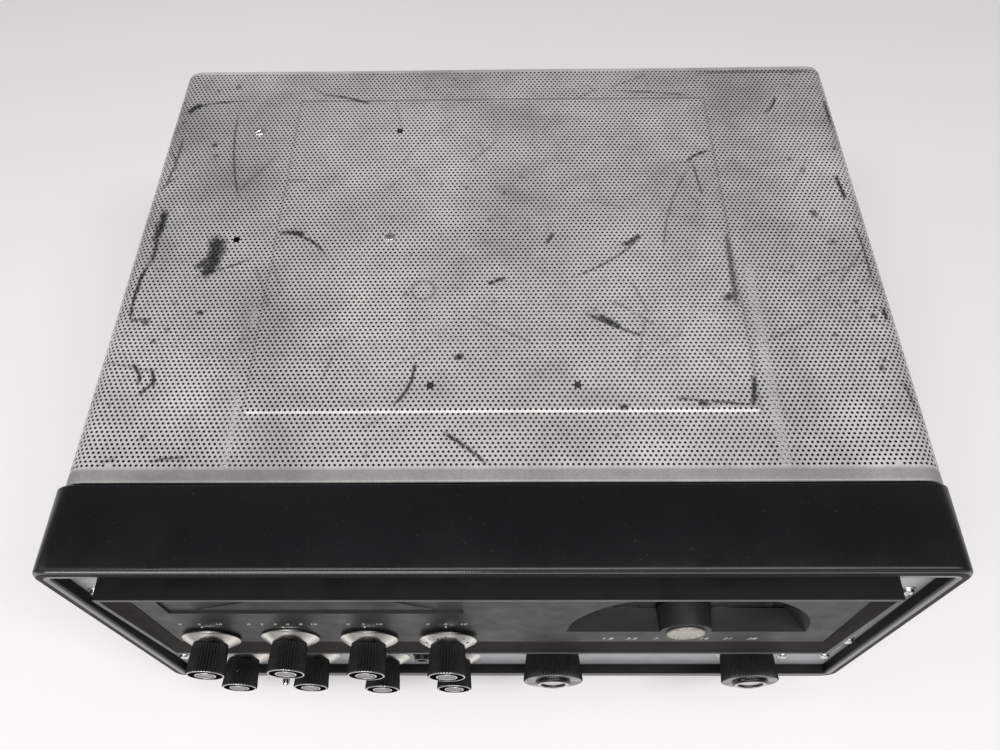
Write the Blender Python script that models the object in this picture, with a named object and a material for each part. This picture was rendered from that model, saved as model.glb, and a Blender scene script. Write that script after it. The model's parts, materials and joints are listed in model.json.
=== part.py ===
"""Tabletop short-wave set: perforated cabinet, black front surround, control panel, knobs,
dial, meter, feet and the main pieces on its chassis.

Lengths in this file are millimetres and mesh() turns them into metres. X runs to the right,
Y runs to the back and Z runs up from the table. Depths are first given from the surround's
front face (depth 0, knobs at negative depth) and are shifted by DEPTH_SHIFT, so that the
whole set is centred on Y = 0.
"""
import math

import bmesh
import bpy
from mathutils import Matrix, Vector

MM = 0.001
GAP = 0.3  # clearance between two pieces that touch on the real set
PAST = 5.0  # how far a cutting shape reaches past what it cuts

# Overall size
WIDTH = 508.0
HEIGHT = 267.0
FOOT_HEIGHT = 24.5
SURROUND_DEPTH = 51.5
CABINET_BACK = 410.0
REAR_REACH = 421.8  # how far back the rear connector reaches
FRONT_REACH = -27.8  # how far forward the upper knobs reach
DEPTH_SHIFT = -(FRONT_REACH + REAR_REACH) / 2

# Surround and cabinet
LIP = 10.5
SURROUND_WALL = 4.0
LIP_DEPTH = 6.7
SURROUND_RADIUS = 12.0
MOUTH_RADIUS = 5.0
INNER_RADIUS = 8.0
CABINET_WIDTH = 505.5
CABINET_OFFSET_X = 1.0  # the sleeve sits a little off centre in the surround
CABINET_TOP = HEIGHT - 1.5
CABINET_RADIUS = 14.0
SHEET = 1.2
PLATEAU = (-154.5, 156.0, 97.0, 375.0)  # x low, x high, depth low, depth high
PLATEAU_RISE = 1.2
REAR_WINDOW_X = (-205.0, 205.0)
REAR_WINDOW_Z = (44.0, 106.0)
PLATEAU_SLOPE = 3.5

# Front panel and escutcheon
PANEL_FRONT = 7.0
PANEL_BACK = 9.0
ESC_X = (-223.8, 219.8)
ESC_Z = (115.5, 246.0)
ESC_FACE = -3.0
ESC_RIM_LOW = -5.0  # the rim leans: depth of its lower and upper edge
ESC_RIM_TOP = -8.0
ESC_RIM_SLOPE = (12.0, 9.5, 23.5)  # width of the slope inside it: left, right, bottom
ESC_WALL = 3.0
ESC_BACK = PANEL_FRONT - GAP
DIAL_X = 116.0
DIAL_Z = 163.5
DIAL_RADIUS = 75.0
DIAL_NARROW = 64.0  # the recess narrows to this at its back
DISC_RADIUS = 71.0
VFO_FRONT = 30.0
BOSS_RADIUS = 16.0
BOSS_FOOT = 17.5
METER_X = (-197.0, -22.0)
METER_Z = (203.0, 241.0)
METER_FLOOR = -1.5
METER_CASE_X = (-144.0, -70.0)
METER_CASE_Z = (208.0, 240.5)
METER_CASE_FRONT = 5.6
DIAL_BACK = 12.0  # the dial recess is this deep, through the panel
CAST_WALL = 2.5

# Knobs: columns and rows of the eight small ones, then the two large ones
COLUMNS = (-186.6, -135.8, -85.0, -34.3)
UPPER_Z = 153.0
LOWER_Z = 80.3
UPPER_FACE = -27.8
LOWER_FACE = -20.2
KNOB_LENGTH = 23.4  # from its front face to the back edge of its skirt
KNOB_FRONT_RADIUS = 12.2
KNOB_BACK_RADIUS = 11.2
SKIRT_RADIUS = 18.4
SKIRT_RISE = 4.6
UPPER_SEAT = (0.0, 1.0, 0.0, -0.8)  # how far back each knob sits on its shaft
LOWER_SEAT = (0.0, 0.0, -1.2, -0.8)
SHAFT_RADIUS = 3.17
BIG_Z = 87.0
BIG_X = (35.2, 172.3)
BIG_FACE = -17.0
BIG_BACK = 2.0
LOAD_RADII = (20.8, 18.6)  # at the face, at the back
TUNE_RADII = (19.7, 18.4)
FLANGE_RADIUS = 21.8
LOAD_SHAFT_END = 52.0  # the loading knob's shaft meets the capacitor's rotor here
TUNE_SHAFT_END = 48.0
HOLE_RADIUS = 5.2

# Small pieces on the panel
TOGGLE = (-160.5, 2.0, 57.5)  # x, depth of its pivot, z
TOGGLE_REST_DEG = 10.0  # the lever leans down by this
JACK = (-59.7, 65.5)
METER_REST_DEG = 40.0  # the needle leans left by this

# Chassis
CHASSIS_X = 215.0
CHASSIS_FRONT = 27.0
CHASSIS_BACK = 400.0
CHASSIS_Z = (40.0, 110.0)
DECK = CHASSIS_Z[1]
CAPACITOR = (60.0, 112.0)  # depths of the loading capacitor's two ends
VANE = 1.2
VANE_PITCH = 8.0

ROUND = 32
COLOURS = {
    "black_paint": ((0.012, 0.012, 0.013), 0.0, 0.35),
    "silver_paint": ((0.42, 0.41, 0.40), 0.3, 0.45),
    "panel_paint": ((0.25, 0.28, 0.31), 0.2, 0.45),
    "charcoal_paint": ((0.035, 0.035, 0.038), 0.0, 0.55),
    "plated_steel": ((0.50, 0.50, 0.48), 1.0, 0.35),
    "knob_plastic": ((0.008, 0.008, 0.008), 0.0, 0.4),
    "spun_aluminium": ((0.72, 0.70, 0.66), 1.0, 0.25),
    "chrome": ((0.75, 0.75, 0.75), 1.0, 0.1),
    "clear_plastic": ((0.85, 0.88, 0.85), 0.0, 0.1),
    "dial_paint": ((0.75, 0.73, 0.66), 0.0, 0.5),
    "black_bakelite": ((0.015, 0.013, 0.012), 0.0, 0.3),
    "rubber": ((0.02, 0.02, 0.02), 0.0, 0.8),
    "tube_glass": ((0.60, 0.66, 0.66), 0.0, 0.08),
    "core_steel": ((0.05, 0.05, 0.055), 0.4, 0.5),
}


def material(slot):
    """The Principled material of a slot, made the first time it is asked for."""
    found = bpy.data.materials.get(slot)
    if found:
        return found
    colour, metallic, roughness = COLOURS[slot]
    made = bpy.data.materials.new(slot)
    made.use_nodes = True
    shader = made.node_tree.nodes["Principled BSDF"]
    shader.inputs["Base Color"].default_value = (*colour, 1.0)
    shader.inputs["Metallic"].default_value = metallic
    shader.inputs["Roughness"].default_value = roughness
    return made


def mesh(name, points, faces, slot, origin=(0.0, 0.0, 0.0), smooth_deg=0.0):
    """One closed piece. Points and its origin are in millimetres, at depth from the surround."""
    at = Vector((origin[0], origin[1] + DEPTH_SHIFT, origin[2]))
    data = bpy.data.meshes.new(name)
    shifted = [(Vector((x, y + DEPTH_SHIFT, z)) - at) * MM for x, y, z in points]
    data.from_pydata(shifted, [], faces)
    work = bmesh.new()
    work.from_mesh(data)
    bmesh.ops.recalc_face_normals(work, faces=work.faces)
    work.to_mesh(data)
    work.free()
    data.materials.append(material(slot))
    if smooth_deg:
        data.shade_smooth()
        data.set_sharp_from_angle(angle=math.radians(smooth_deg))
    made = bpy.data.objects.new(name, data)
    made.location = at * MM
    bpy.context.scene.collection.objects.link(made)
    return made


def outline_prism(name, outline, depth, slot, **options):
    """An outline of (x, z) points made solid between two depths."""
    count = len(outline)
    points = [(x, y, z) for y in depth for x, z in outline]
    faces = [list(range(count)), list(range(2 * count - 1, count - 1, -1))]
    for at in range(count):
        after = (at + 1) % count
        faces.append([at, after, count + after, count + at])
    return mesh(name, points, faces, slot, **options)


def box(name, x, y, z, slot, **options):
    """A box between two values on each axis."""
    return outline_prism(name, rectangle(x, z), y, slot, **options)


def lathe(name, profile, slot, centre, axis="Y", segments=ROUND, smooth_deg=35.0, **options):
    """A closed profile of (radius, position along the axis) turned about an axis.

    The profile may start and end on the axis, or be a loop away from it. The centre is
    (x, z) for an axis along Y, and (x, y) for one along Z.
    """
    loop = profile[0][0] > 0.0
    points = []
    rings = []
    for radius, along in profile:
        turns = segments if radius > 0.0 else 1
        ring = []
        for step in range(turns):
            angle = 2 * math.pi * step / segments
            across = radius * math.cos(angle)
            up = radius * math.sin(angle)
            ring.append(len(points))
            if axis == "Y":
                points.append((centre[0] + across, along, centre[1] + up))
            else:
                points.append((centre[0] + across, centre[1] + up, along))
        rings.append(ring)
    pairs = list(zip(rings, rings[1:]))
    if loop:
        pairs.append((rings[-1], rings[0]))
    faces = []
    for low, high in pairs:
        for step in range(segments):
            after = (step + 1) % segments
            if len(low) == 1:
                faces.append([low[0], high[after], high[step]])
            elif len(high) == 1:
                faces.append([low[step], low[after], high[0]])
            else:
                faces.append([low[step], low[after], high[after], high[step]])
    return mesh(name, points, faces, slot, smooth_deg=smooth_deg, **options)


def cylinder(name, radius, span, slot, centre, axis="Y", **options):
    """A solid cylinder."""
    profile = [(0.0, span[0]), (radius, span[0]), (radius, span[1]), (0.0, span[1])]
    return lathe(name, profile, slot, centre, axis, **options)


def combine(target, others, operation):
    """Join solids to a solid, or cut them out of it, and remove them."""
    for other in others:
        step = target.modifiers.new(operation.lower(), "BOOLEAN")
        step.operation = operation
        step.solver = "EXACT"
        step.object = other
    bpy.context.view_layer.update()
    seen = bpy.context.evaluated_depsgraph_get()
    result = bpy.data.meshes.new_from_object(target.evaluated_get(seen))
    target.modifiers.clear()
    target.data = result
    for other in others:
        bpy.data.objects.remove(other)
    work = bmesh.new()
    work.from_mesh(result)
    bmesh.ops.remove_doubles(work, verts=work.verts, dist=0.00001)
    bmesh.ops.dissolve_limit(
        work,
        angle_limit=math.radians(0.5),
        verts=work.verts,
        edges=work.edges,
        delimit={"NORMAL"},
    )
    work.to_mesh(result)
    work.free()
    return target


def join(target, *others):
    """Add solids to a solid."""
    return combine(target, others, "UNION")


def cut(target, *others):
    """Take solids away from a solid."""
    return combine(target, others, "DIFFERENCE")


def rounded(x, z, radius, steps=6):
    """The (x, z) outline of a rectangle with rounded corners."""
    corners = (
        (x[1] - radius, z[0] + radius, -90),
        (x[1] - radius, z[1] - radius, 0),
        (x[0] + radius, z[1] - radius, 90),
        (x[0] + radius, z[0] + radius, 180),
    )
    outline = []
    for centre_x, centre_z, start in corners:
        for step in range(steps + 1):
            angle = math.radians(start + 90 * step / steps)
            outline.append((centre_x + radius * math.cos(angle), centre_z + radius * math.sin(angle)))
    return outline


def half_moon(outer, inner, low, steps=24):
    """The (x, z) outline of a half ring around the dial's centre, its flat side at height low."""
    outline = []
    for radius, turn in ((outer, 1), (inner, -1)):
        start = math.asin((low - DIAL_Z) / radius)
        for step in range(steps + 1):
            part = step / steps if turn > 0 else 1 - step / steps
            angle = start + (math.pi - 2 * start) * part
            outline.append((DIAL_X + radius * math.cos(angle), DIAL_Z + radius * math.sin(angle)))
    return outline


def half_disc(radius, low, steps=30):
    """The (x, z) outline of what a level cut leaves above it of a disc round the dial's centre."""
    start = math.asin((low - DIAL_Z) / radius)
    outline = []
    for step in range(steps + 1):
        angle = start + (math.pi - 2 * start) * step / steps
        outline.append((DIAL_X + radius * math.cos(angle), DIAL_Z + radius * math.sin(angle)))
    return outline


def rectangle(x, z):
    """The four (x, z) corners between two values on each axis."""
    return [(x[0], z[0]), (x[1], z[0]), (x[1], z[1]), (x[0], z[1])]


def loft(name, rings, slot):
    """A solid through rings of points that correspond one to one."""
    count = len(rings[0])
    points = [point for ring in rings for point in ring]
    last = len(points) - count
    faces = [list(range(count)), list(range(last + count - 1, last - 1, -1))]
    for level in range(len(rings) - 1):
        low = level * count
        high = low + count
        for at in range(count):
            after = (at + 1) % count
            faces.append([low + at, low + after, high + after, high + at])
    return mesh(name, points, faces, slot)


def hopper(name, wide, narrow, depth, slot):
    """A solid that narrows from one (x low, x high, z low, z high) to another, between two depths."""
    rings = []
    for (x0, x1, z0, z1), at in zip((wide, narrow), depth):
        rings.append([(x, at, z) for x, z in rectangle((x0, x1), (z0, z1))])
    return loft(name, rings, slot)


def dial_recess(before, slot):
    """The half-moon cut through the escutcheon, narrowing from its face to the dial window."""
    past = DIAL_BACK + 4.0
    run = DIAL_BACK - ESC_FACE
    reach = (past - ESC_FACE) / run
    outer = DIAL_RADIUS + (DIAL_NARROW - DIAL_RADIUS) * reach
    inner = BOSS_RADIUS + (BOSS_FOOT - BOSS_RADIUS) * reach
    front = half_moon(DIAL_RADIUS, BOSS_RADIUS, DIAL_Z)
    back = half_moon(outer, inner, DIAL_Z)
    rings = []
    for outline, depth in ((front, before), (front, ESC_FACE), (back, past)):
        rings.append([(x, depth, z) for x, z in outline])
    return loft("dial_cut", rings, slot)


def front_bezel():
    """The black surround: a lip at the front with a thinner wall behind it."""
    half = WIDTH / 2
    outer = rounded((-half, half), (FOOT_HEIGHT, HEIGHT), SURROUND_RADIUS)
    mouth_x = (-half + LIP, half - LIP)
    mouth_z = (FOOT_HEIGHT + LIP, HEIGHT - LIP)
    inner_x = (-half + SURROUND_WALL, half - SURROUND_WALL)
    inner_z = (FOOT_HEIGHT + SURROUND_WALL, HEIGHT - SURROUND_WALL)
    ring = outline_prism("front_bezel", outer, (0.0, SURROUND_DEPTH), "black_paint")
    mouth_outline = rounded(mouth_x, mouth_z, MOUTH_RADIUS, 3)
    mouth = outline_prism("mouth", mouth_outline, (-PAST, LIP_DEPTH + PAST), "black_paint")
    inner_outline = rounded(inner_x, inner_z, INNER_RADIUS, 3)
    inner = outline_prism("inner", inner_outline, (LIP_DEPTH, SURROUND_DEPTH + PAST), "black_paint")
    return cut(ring, mouth, inner)


def cabinet_wrap():
    """The sheet sleeve: top and sides bent from one sheet, turned in along the bottom."""
    half = CABINET_WIDTH / 2
    low = FOOT_HEIGHT + 0.5
    turn_in = 14.0
    outer = []
    inner = []
    for radius, reach, into in ((CABINET_RADIUS, 0.0, outer), (CABINET_RADIUS - SHEET, SHEET, inner)):
        side = half - reach
        top = CABINET_TOP - reach
        into.append((half - turn_in, low + reach))
        into.append((side, low + reach))
        for step in range(7):
            angle = math.radians(90 * step / 6)
            into.append((side - radius + radius * math.cos(angle), top - radius + radius * math.sin(angle)))
    right = outer + [(-x, z) for x, z in reversed(outer)]
    left = inner + [(-x, z) for x, z in reversed(inner)]
    outline = [(x + CABINET_OFFSET_X, z) for x, z in right + left[::-1]]
    sleeve = outline_prism("cabinet_wrap", outline, (SURROUND_DEPTH + GAP, CABINET_BACK), "silver_paint")
    return join(sleeve, plateau())


def plateau():
    """The raised field pressed into the top sheet, with sloping edges."""
    x0, x1, y0, y1 = PLATEAU
    base = CABINET_TOP - SHEET / 2
    top = CABINET_TOP + PLATEAU_RISE
    run = PLATEAU_SLOPE
    points = [(x0, y0, base), (x1, y0, base), (x1, y1, base), (x0, y1, base)]
    points += [(x0, y0, CABINET_TOP), (x1, y0, CABINET_TOP), (x1, y1, CABINET_TOP), (x0, y1, CABINET_TOP)]
    points += [(x0 + run, y0 + run, top), (x1 - run, y0 + run, top)]
    points += [(x1 - run, y1 - run, top), (x0 + run, y1 - run, top)]
    faces = [[3, 2, 1, 0], [8, 9, 10, 11]]
    for ring in (0, 4):
        for at in range(4):
            after = (at + 1) % 4
            faces.append([ring + at, ring + after, ring + 4 + after, ring + 4 + at])
    return mesh("plateau", points, faces, "silver_paint")


def bottom_plate():
    """The plate that closes the underside and carries the feet."""
    low = FOOT_HEIGHT + 0.5 + SHEET + GAP
    depth = (SURROUND_DEPTH + 1.0, CABINET_BACK - 6.0)
    return box("bottom_plate", (-244.0, 244.0), depth, (low, low + 1.5), "silver_paint")


def rear_panel():
    """The back plate, open in front of the chassis's rear apron."""
    outline = rounded((-248.0, 250.0), (30.0, 262.5), CABINET_RADIUS)
    plate = outline_prism("rear_panel", outline, (CABINET_BACK - 3.5, CABINET_BACK - 2.0), "silver_paint")
    through = (CABINET_BACK - 3.5 - PAST, CABINET_BACK + PAST)
    window = box("window", REAR_WINDOW_X, through, REAR_WINDOW_Z, "silver_paint")
    return cut(plate, window)


def front_panel():
    """The painted panel behind the surround, with its holes and the dial and meter windows."""
    half = WIDTH / 2 - SURROUND_WALL - GAP
    heights = (FOOT_HEIGHT + SURROUND_WALL + GAP, HEIGHT - SURROUND_WALL - GAP)
    outline = rounded((-half, half), heights, INNER_RADIUS, 3)
    panel = outline_prism("front_panel", outline, (PANEL_FRONT, PANEL_BACK), "panel_paint")
    through = (PANEL_FRONT - 4.0, PANEL_BACK + 4.0)
    dial_hole = half_disc(DIAL_RADIUS + CAST_WALL + GAP, DIAL_Z - CAST_WALL - GAP)
    cuts = [outline_prism("dial_hole", dial_hole, through, "panel_paint")]
    x = (METER_CASE_X[0] - 1.0, METER_CASE_X[1] + 1.0)
    z = (METER_CASE_Z[0] - 1.0, METER_CASE_Z[1] + 1.0)
    cuts.append(box("meter_hole", x, through, z, "panel_paint"))
    for row in (UPPER_Z, LOWER_Z):
        for column in COLUMNS:
            cuts.append(cylinder("hole", HOLE_RADIUS, through, "panel_paint", (column, row), segments=16))
    for column in BIG_X:
        cuts.append(cylinder("hole", HOLE_RADIUS, through, "panel_paint", (column, BIG_Z), segments=16))
    cuts.append(cylinder("hole", 6.4, through, "panel_paint", (TOGGLE[0], TOGGLE[2]), segments=16))
    cuts.append(cylinder("hole", 5.6, through, "panel_paint", JACK, segments=16))
    return cut(panel, *cuts)


def rim_depth(z):
    """Depth of the escutcheon's leaning rim at a height."""
    part = (z - ESC_Z[0]) / (ESC_Z[1] - ESC_Z[0])
    return ESC_RIM_LOW + (ESC_RIM_TOP - ESC_RIM_LOW) * part


def rim_ring(x, z):
    """A rectangle's four corners on the leaning plane of the escutcheon's rim."""
    return [(at_x, rim_depth(at_z), at_z) for at_x, at_z in rectangle(x, z)]


def level_ring(outline, depth):
    """An (x, z) outline's points at one depth."""
    return [(x, depth, z) for x, z in outline]


def escutcheon():
    """The dark casting on the panel's upper half: rim, sunken face, dial and meter recesses."""
    slot = "charcoal_paint"
    x0, x1 = ESC_X
    z0, z1 = ESC_Z
    before = ESC_RIM_TOP - 5.0
    body = loft("escutcheon", [rim_ring(ESC_X, ESC_Z), level_ring(rectangle(ESC_X, ESC_Z), ESC_BACK)], slot)
    left, right, low = ESC_RIM_SLOPE
    rim_x = (x0 + ESC_WALL, x1 - ESC_WALL)
    rim_z = (z0 + 1.5, z1 - ESC_WALL)
    face = rectangle((x0 + left, x1 - right), (z0 + low, z1 - ESC_WALL - 0.5))
    mouth = level_ring(rectangle(rim_x, rim_z), before)
    rings = [mouth, rim_ring(rim_x, rim_z), level_ring(face, ESC_FACE)]
    sunken = loft("sunken", rings, slot)
    hollow_x = (x0 + ESC_WALL, x1 - ESC_WALL)
    hollow_z = (z0 + ESC_WALL, z1 - ESC_WALL)
    hollow = box("hollow", hollow_x, (0.0, ESC_BACK + 5.0), hollow_z, slot)
    casting = cut(body, sunken, hollow)
    dial_low = DIAL_Z - CAST_WALL
    meter_x = (METER_X[0] - CAST_WALL, METER_X[1] + CAST_WALL)
    meter_z = (METER_Z[0] - CAST_WALL, METER_Z[1] + 2.0)
    dial_wall = half_disc(DIAL_RADIUS + CAST_WALL, dial_low)
    join(
        casting,
        outline_prism("dial_wall", dial_wall, (METER_FLOOR, DIAL_BACK), slot),
        cylinder("boss", BOSS_RADIUS, (ESC_FACE, ESC_BACK), slot, (DIAL_X, DIAL_Z), segments=48),
        box("meter_wall", meter_x, (METER_FLOOR, ESC_BACK), meter_z, slot),
    )
    through = (before, DIAL_BACK + 4.0)
    seat_x = (METER_CASE_X[0] - 2.0, METER_CASE_X[1] + 2.0)
    seat_z = (METER_CASE_Z[0] - 2.0, METER_Z[1])
    wide = (METER_X[0] + 17.0, METER_X[1] - 15.0, METER_Z[0] + 3.0, METER_Z[1] - 1.0)
    narrow = (*METER_CASE_X, *METER_CASE_Z)
    cuts = [
        dial_recess(before, slot),
        box("meter_cut", METER_X, (before, METER_FLOOR), METER_Z, slot),
        hopper("meter_hopper", wide, narrow, (METER_FLOOR - 0.01, METER_CASE_FRONT - 2.1), slot),
        box("window_seat", seat_x, (METER_CASE_FRONT - 2.12, ESC_BACK + 4.0), seat_z, slot),
    ]
    for column in COLUMNS:
        cuts.append(cylinder("hole", HOLE_RADIUS, through, slot, (column, UPPER_Z), segments=16))
    return cut(casting, *cuts)


def dial():
    """The clear dial window, the turning dial disc with its shaft, and the round badge blank."""
    window_front = DIAL_BACK + GAP
    window = half_disc(DIAL_RADIUS + CAST_WALL, DIAL_Z - CAST_WALL)
    outline_prism("dial_window", window, (window_front, window_front + 1.5), "clear_plastic")
    disc = window_front + 3.2
    profile = [
        (0.0, disc),
        (DISC_RADIUS, disc),
        (DISC_RADIUS, disc + 1.0),
        (6.0, disc + 1.0),
        (6.0, disc + 5.0),
        (3.0, disc + 5.0),
        (3.0, VFO_FRONT - GAP),
        (0.0, VFO_FRONT - GAP),
    ]
    centre = (DIAL_X, DIAL_Z)
    lathe("dial_disc", profile, "dial_paint", centre, segments=48, origin=(DIAL_X, disc, DIAL_Z))
    profile = [(0.0, -4.9), (10.8, -4.9), (12.0, -4.2), (12.0, ESC_FACE - GAP), (0.0, ESC_FACE - GAP)]
    lathe("medallion", profile, "spun_aluminium", centre)


def meter():
    """The meter: a case open at its front, a needle on a pivot, and a clear window."""
    front = METER_CASE_FRONT
    case = box("meter_case", METER_CASE_X, (front, front + 32.0), METER_CASE_Z, "black_bakelite")
    inside_x = (METER_CASE_X[0] + 2.0, METER_CASE_X[1] - 2.0)
    inside_z = (METER_CASE_Z[0] + 2.0, METER_CASE_Z[1] - 2.0)
    cut(case, box("inside", inside_x, (front - 5.0, front + 5.5), inside_z, "black_bakelite"))
    pivot = (sum(METER_CASE_X) / 2, METER_CASE_Z[0] + 5.5)
    hub = (front + 2.0, front + 4.4)
    origin = (pivot[0], hub[0], pivot[1])
    needle = cylinder("meter_needle", 2.2, hub, "black_bakelite", pivot, segments=16, origin=origin)
    lean = math.radians(METER_REST_DEG)
    length = 22.0
    along = Vector((-math.sin(lean), math.cos(lean)))
    across = Vector((along.y, -along.x))
    base = Vector(pivot)
    tip = base + along * length
    wedge = [base - across * 0.6, base + across * 0.6, tip + across * 0.3, tip - across * 0.3]
    outline = [tuple(point) for point in wedge]
    join(needle, outline_prism("blade", outline, (front + 2.8, front + 3.3), "black_bakelite"))
    window_x = (METER_CASE_X[0] - 1.7, METER_CASE_X[1] + 1.7)
    window_z = (METER_CASE_Z[0] - 1.7, METER_CASE_Z[1])
    box("meter_window", window_x, (front - 1.8, front - GAP), window_z, "clear_plastic")


def fluted(name, radii, span, flutes, centre, slot, **options):
    """A tapering knob body whose side has alternating ridges and grooves."""
    points = []
    count = 2 * flutes
    for radius, depth in zip(radii, span):
        for step in range(count):
            angle = math.pi * step / flutes
            reach = radius if step % 2 else radius - 0.5
            points.append((centre[0] + reach * math.cos(angle), depth, centre[1] + reach * math.sin(angle)))
    faces = [list(range(count)), list(range(2 * count - 1, count - 1, -1))]
    for at in range(count):
        after = (at + 1) % count
        faces.append([at, after, count + after, count + at])
    return mesh(name, points, faces, slot, **options)


def small_knobs():
    """Eight controls: a fluted knob on its shaft, a conical skirt, and the control body."""
    number = 0
    for row, row_face, seats in ((UPPER_Z, UPPER_FACE, UPPER_SEAT), (LOWER_Z, LOWER_FACE, LOWER_SEAT)):
        for column, seat in zip(COLUMNS, seats):
            number += 1
            centre = (column, row)
            face = row_face + seat
            skirt_back = face + KNOB_LENGTH
            skirt_front = skirt_back - SKIRT_RISE
            radii = (KNOB_FRONT_RADIUS, KNOB_BACK_RADIUS)
            span = (face, skirt_front - GAP)
            origin = (column, face, row)
            knob = fluted(f"knob_{number}", radii, span, 24, centre, "knob_plastic", origin=origin)
            shaft_span = (skirt_front - 2.0, 6.5)
            join(knob, cylinder("shaft", SHAFT_RADIUS, shaft_span, "knob_plastic", centre, segments=16))
            bore = SHAFT_RADIUS + GAP
            profile = [
                (bore, skirt_front),
                (12.6, skirt_front),
                (SKIRT_RADIUS, skirt_back - 0.8),
                (SKIRT_RADIUS, skirt_back),
                (bore, skirt_back),
            ]
            origin = (column, skirt_back, row)
            lathe(f"skirt_{number}", profile, "spun_aluminium", centre, segments=24, origin=origin)
            nose = -1.0 if row == UPPER_Z else skirt_back + 1.0
            profile = [
                (0.0, 7.5),
                (bore, 7.5),
                (bore, nose),
                (4.7, nose),
                (4.7, 10.0),
                (12.0, 10.0),
                (12.0, 23.0),
                (0.0, 23.0),
            ]
            lathe(f"control_{number}", profile, "plated_steel", centre, segments=16)


def big_knobs():
    """The two large knobs on their shafts, and the flange behind the right-hand one."""
    plans = (("knob_load", LOAD_RADII, LOAD_SHAFT_END), ("knob_tune", TUNE_RADII, TUNE_SHAFT_END))
    for column, (name, radii, shaft_end) in zip(BIG_X, plans):
        centre = (column, BIG_Z)
        origin = (column, BIG_FACE, BIG_Z)
        knob = fluted(name, radii, (BIG_FACE, BIG_BACK), 36, centre, "knob_plastic", origin=origin)
        ring = cylinder("ring", 11.5, (BIG_FACE - 2.6, BIG_FACE + 1.0), "knob_plastic", centre)
        shaft = cylinder("shaft", SHAFT_RADIUS, (0.0, shaft_end), "knob_plastic", centre, segments=16)
        join(knob, ring, shaft)
    bore = SHAFT_RADIUS + GAP
    front = BIG_BACK + GAP
    back = 4.2
    profile = [
        (bore, front),
        (FLANGE_RADIUS - 0.8, front),
        (FLANGE_RADIUS, 3.6),
        (FLANGE_RADIUS, back),
        (bore, back),
    ]
    lathe("tune_flange", profile, "spun_aluminium", centre, origin=(BIG_X[1], back, BIG_Z))


def toggle():
    """The bat-handle switch under the knobs."""
    x, pivot_depth, z = TOGGLE
    bore = 4.6
    profile = [(0.0, 5.2), (2.6, 5.2), (bore, 0.5), (6.0, 0.5), (6.0, 9.3), (0.0, 9.3)]
    body = lathe("toggle_body", profile, "plated_steel", (x, z), segments=24)
    join(body, box("switch", (x - 7.0, x + 7.0), (9.2, 24.0), (z - 9.0, z + 9.0), "plated_steel"))
    profile = [
        (0.0, 4.7),
        (1.6, 4.2),
        (1.6, 0.0),
        (1.5, -3.0),
        (2.6, -11.0),
        (2.4, -12.6),
        (1.4, -13.6),
        (0.0, -13.9),
    ]
    lever = lathe("toggle_lever", profile, "chrome", (x, z), segments=20, origin=(x, pivot_depth, z))
    lever.data.transform(Matrix.Rotation(math.radians(TOGGLE_REST_DEG), 4, "X"))


def phone_jack():
    """The open jack beside the toggle, with its nut in front of the panel."""
    bore = 3.3
    bushing = 5.2
    nut_back = PANEL_FRONT - GAP
    sleeve_front = PANEL_BACK + GAP
    profile = [
        (bore, 16.0),
        (bore, 2.0),
        (5.6, 2.0),
        (5.6, nut_back),
        (bushing, nut_back),
        (bushing, sleeve_front),
        (6.5, sleeve_front),
        (6.5, 16.0),
    ]
    lathe("phone_jack", profile, "plated_steel", JACK, segments=24)


def feet():
    """Four tapered rubber feet under the bottom plate."""
    top = FOOT_HEIGHT + 0.5 + SHEET
    profile = [(0.0, 0.0), (10.0, 0.0), (10.8, 1.0), (12.8, top), (0.0, top)]
    number = 0
    for depth in (78.0, 372.0):
        for x in (-205.0, 205.0):
            number += 1
            lathe(f"foot_{number}", profile, "rubber", (x, depth), "Z", segments=24)


def chassis():
    """The tray that carries the works: a deck with four aprons, the side ones reach the panel."""
    low, high = CHASSIS_Z
    sheet = 1.5
    tray = box("chassis", (-CHASSIS_X, CHASSIS_X), (CHASSIS_FRONT, CHASSIS_BACK), CHASSIS_Z, "plated_steel")
    inside_x = (-CHASSIS_X + sheet, CHASSIS_X - sheet)
    inside_y = (CHASSIS_FRONT + sheet, CHASSIS_BACK - sheet)
    cut(tray, box("inside", inside_x, inside_y, (low - 5.0, high - sheet), "plated_steel"))
    arms = []
    for side in (-1, 1):
        x = sorted((side * CHASSIS_X, side * (CHASSIS_X - sheet)))
        arms.append(box("arm", x, (PANEL_BACK + GAP, CHASSIS_FRONT + 1.0), CHASSIS_Z, "plated_steel"))
    join(tray, *arms)
    through = (CHASSIS_FRONT - 4.0, CHASSIS_FRONT + 6.0)
    holes = [cylinder("hole", HOLE_RADIUS, through, "plated_steel", (x, BIG_Z), segments=16) for x in BIG_X]
    return cut(tray, *holes)


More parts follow.
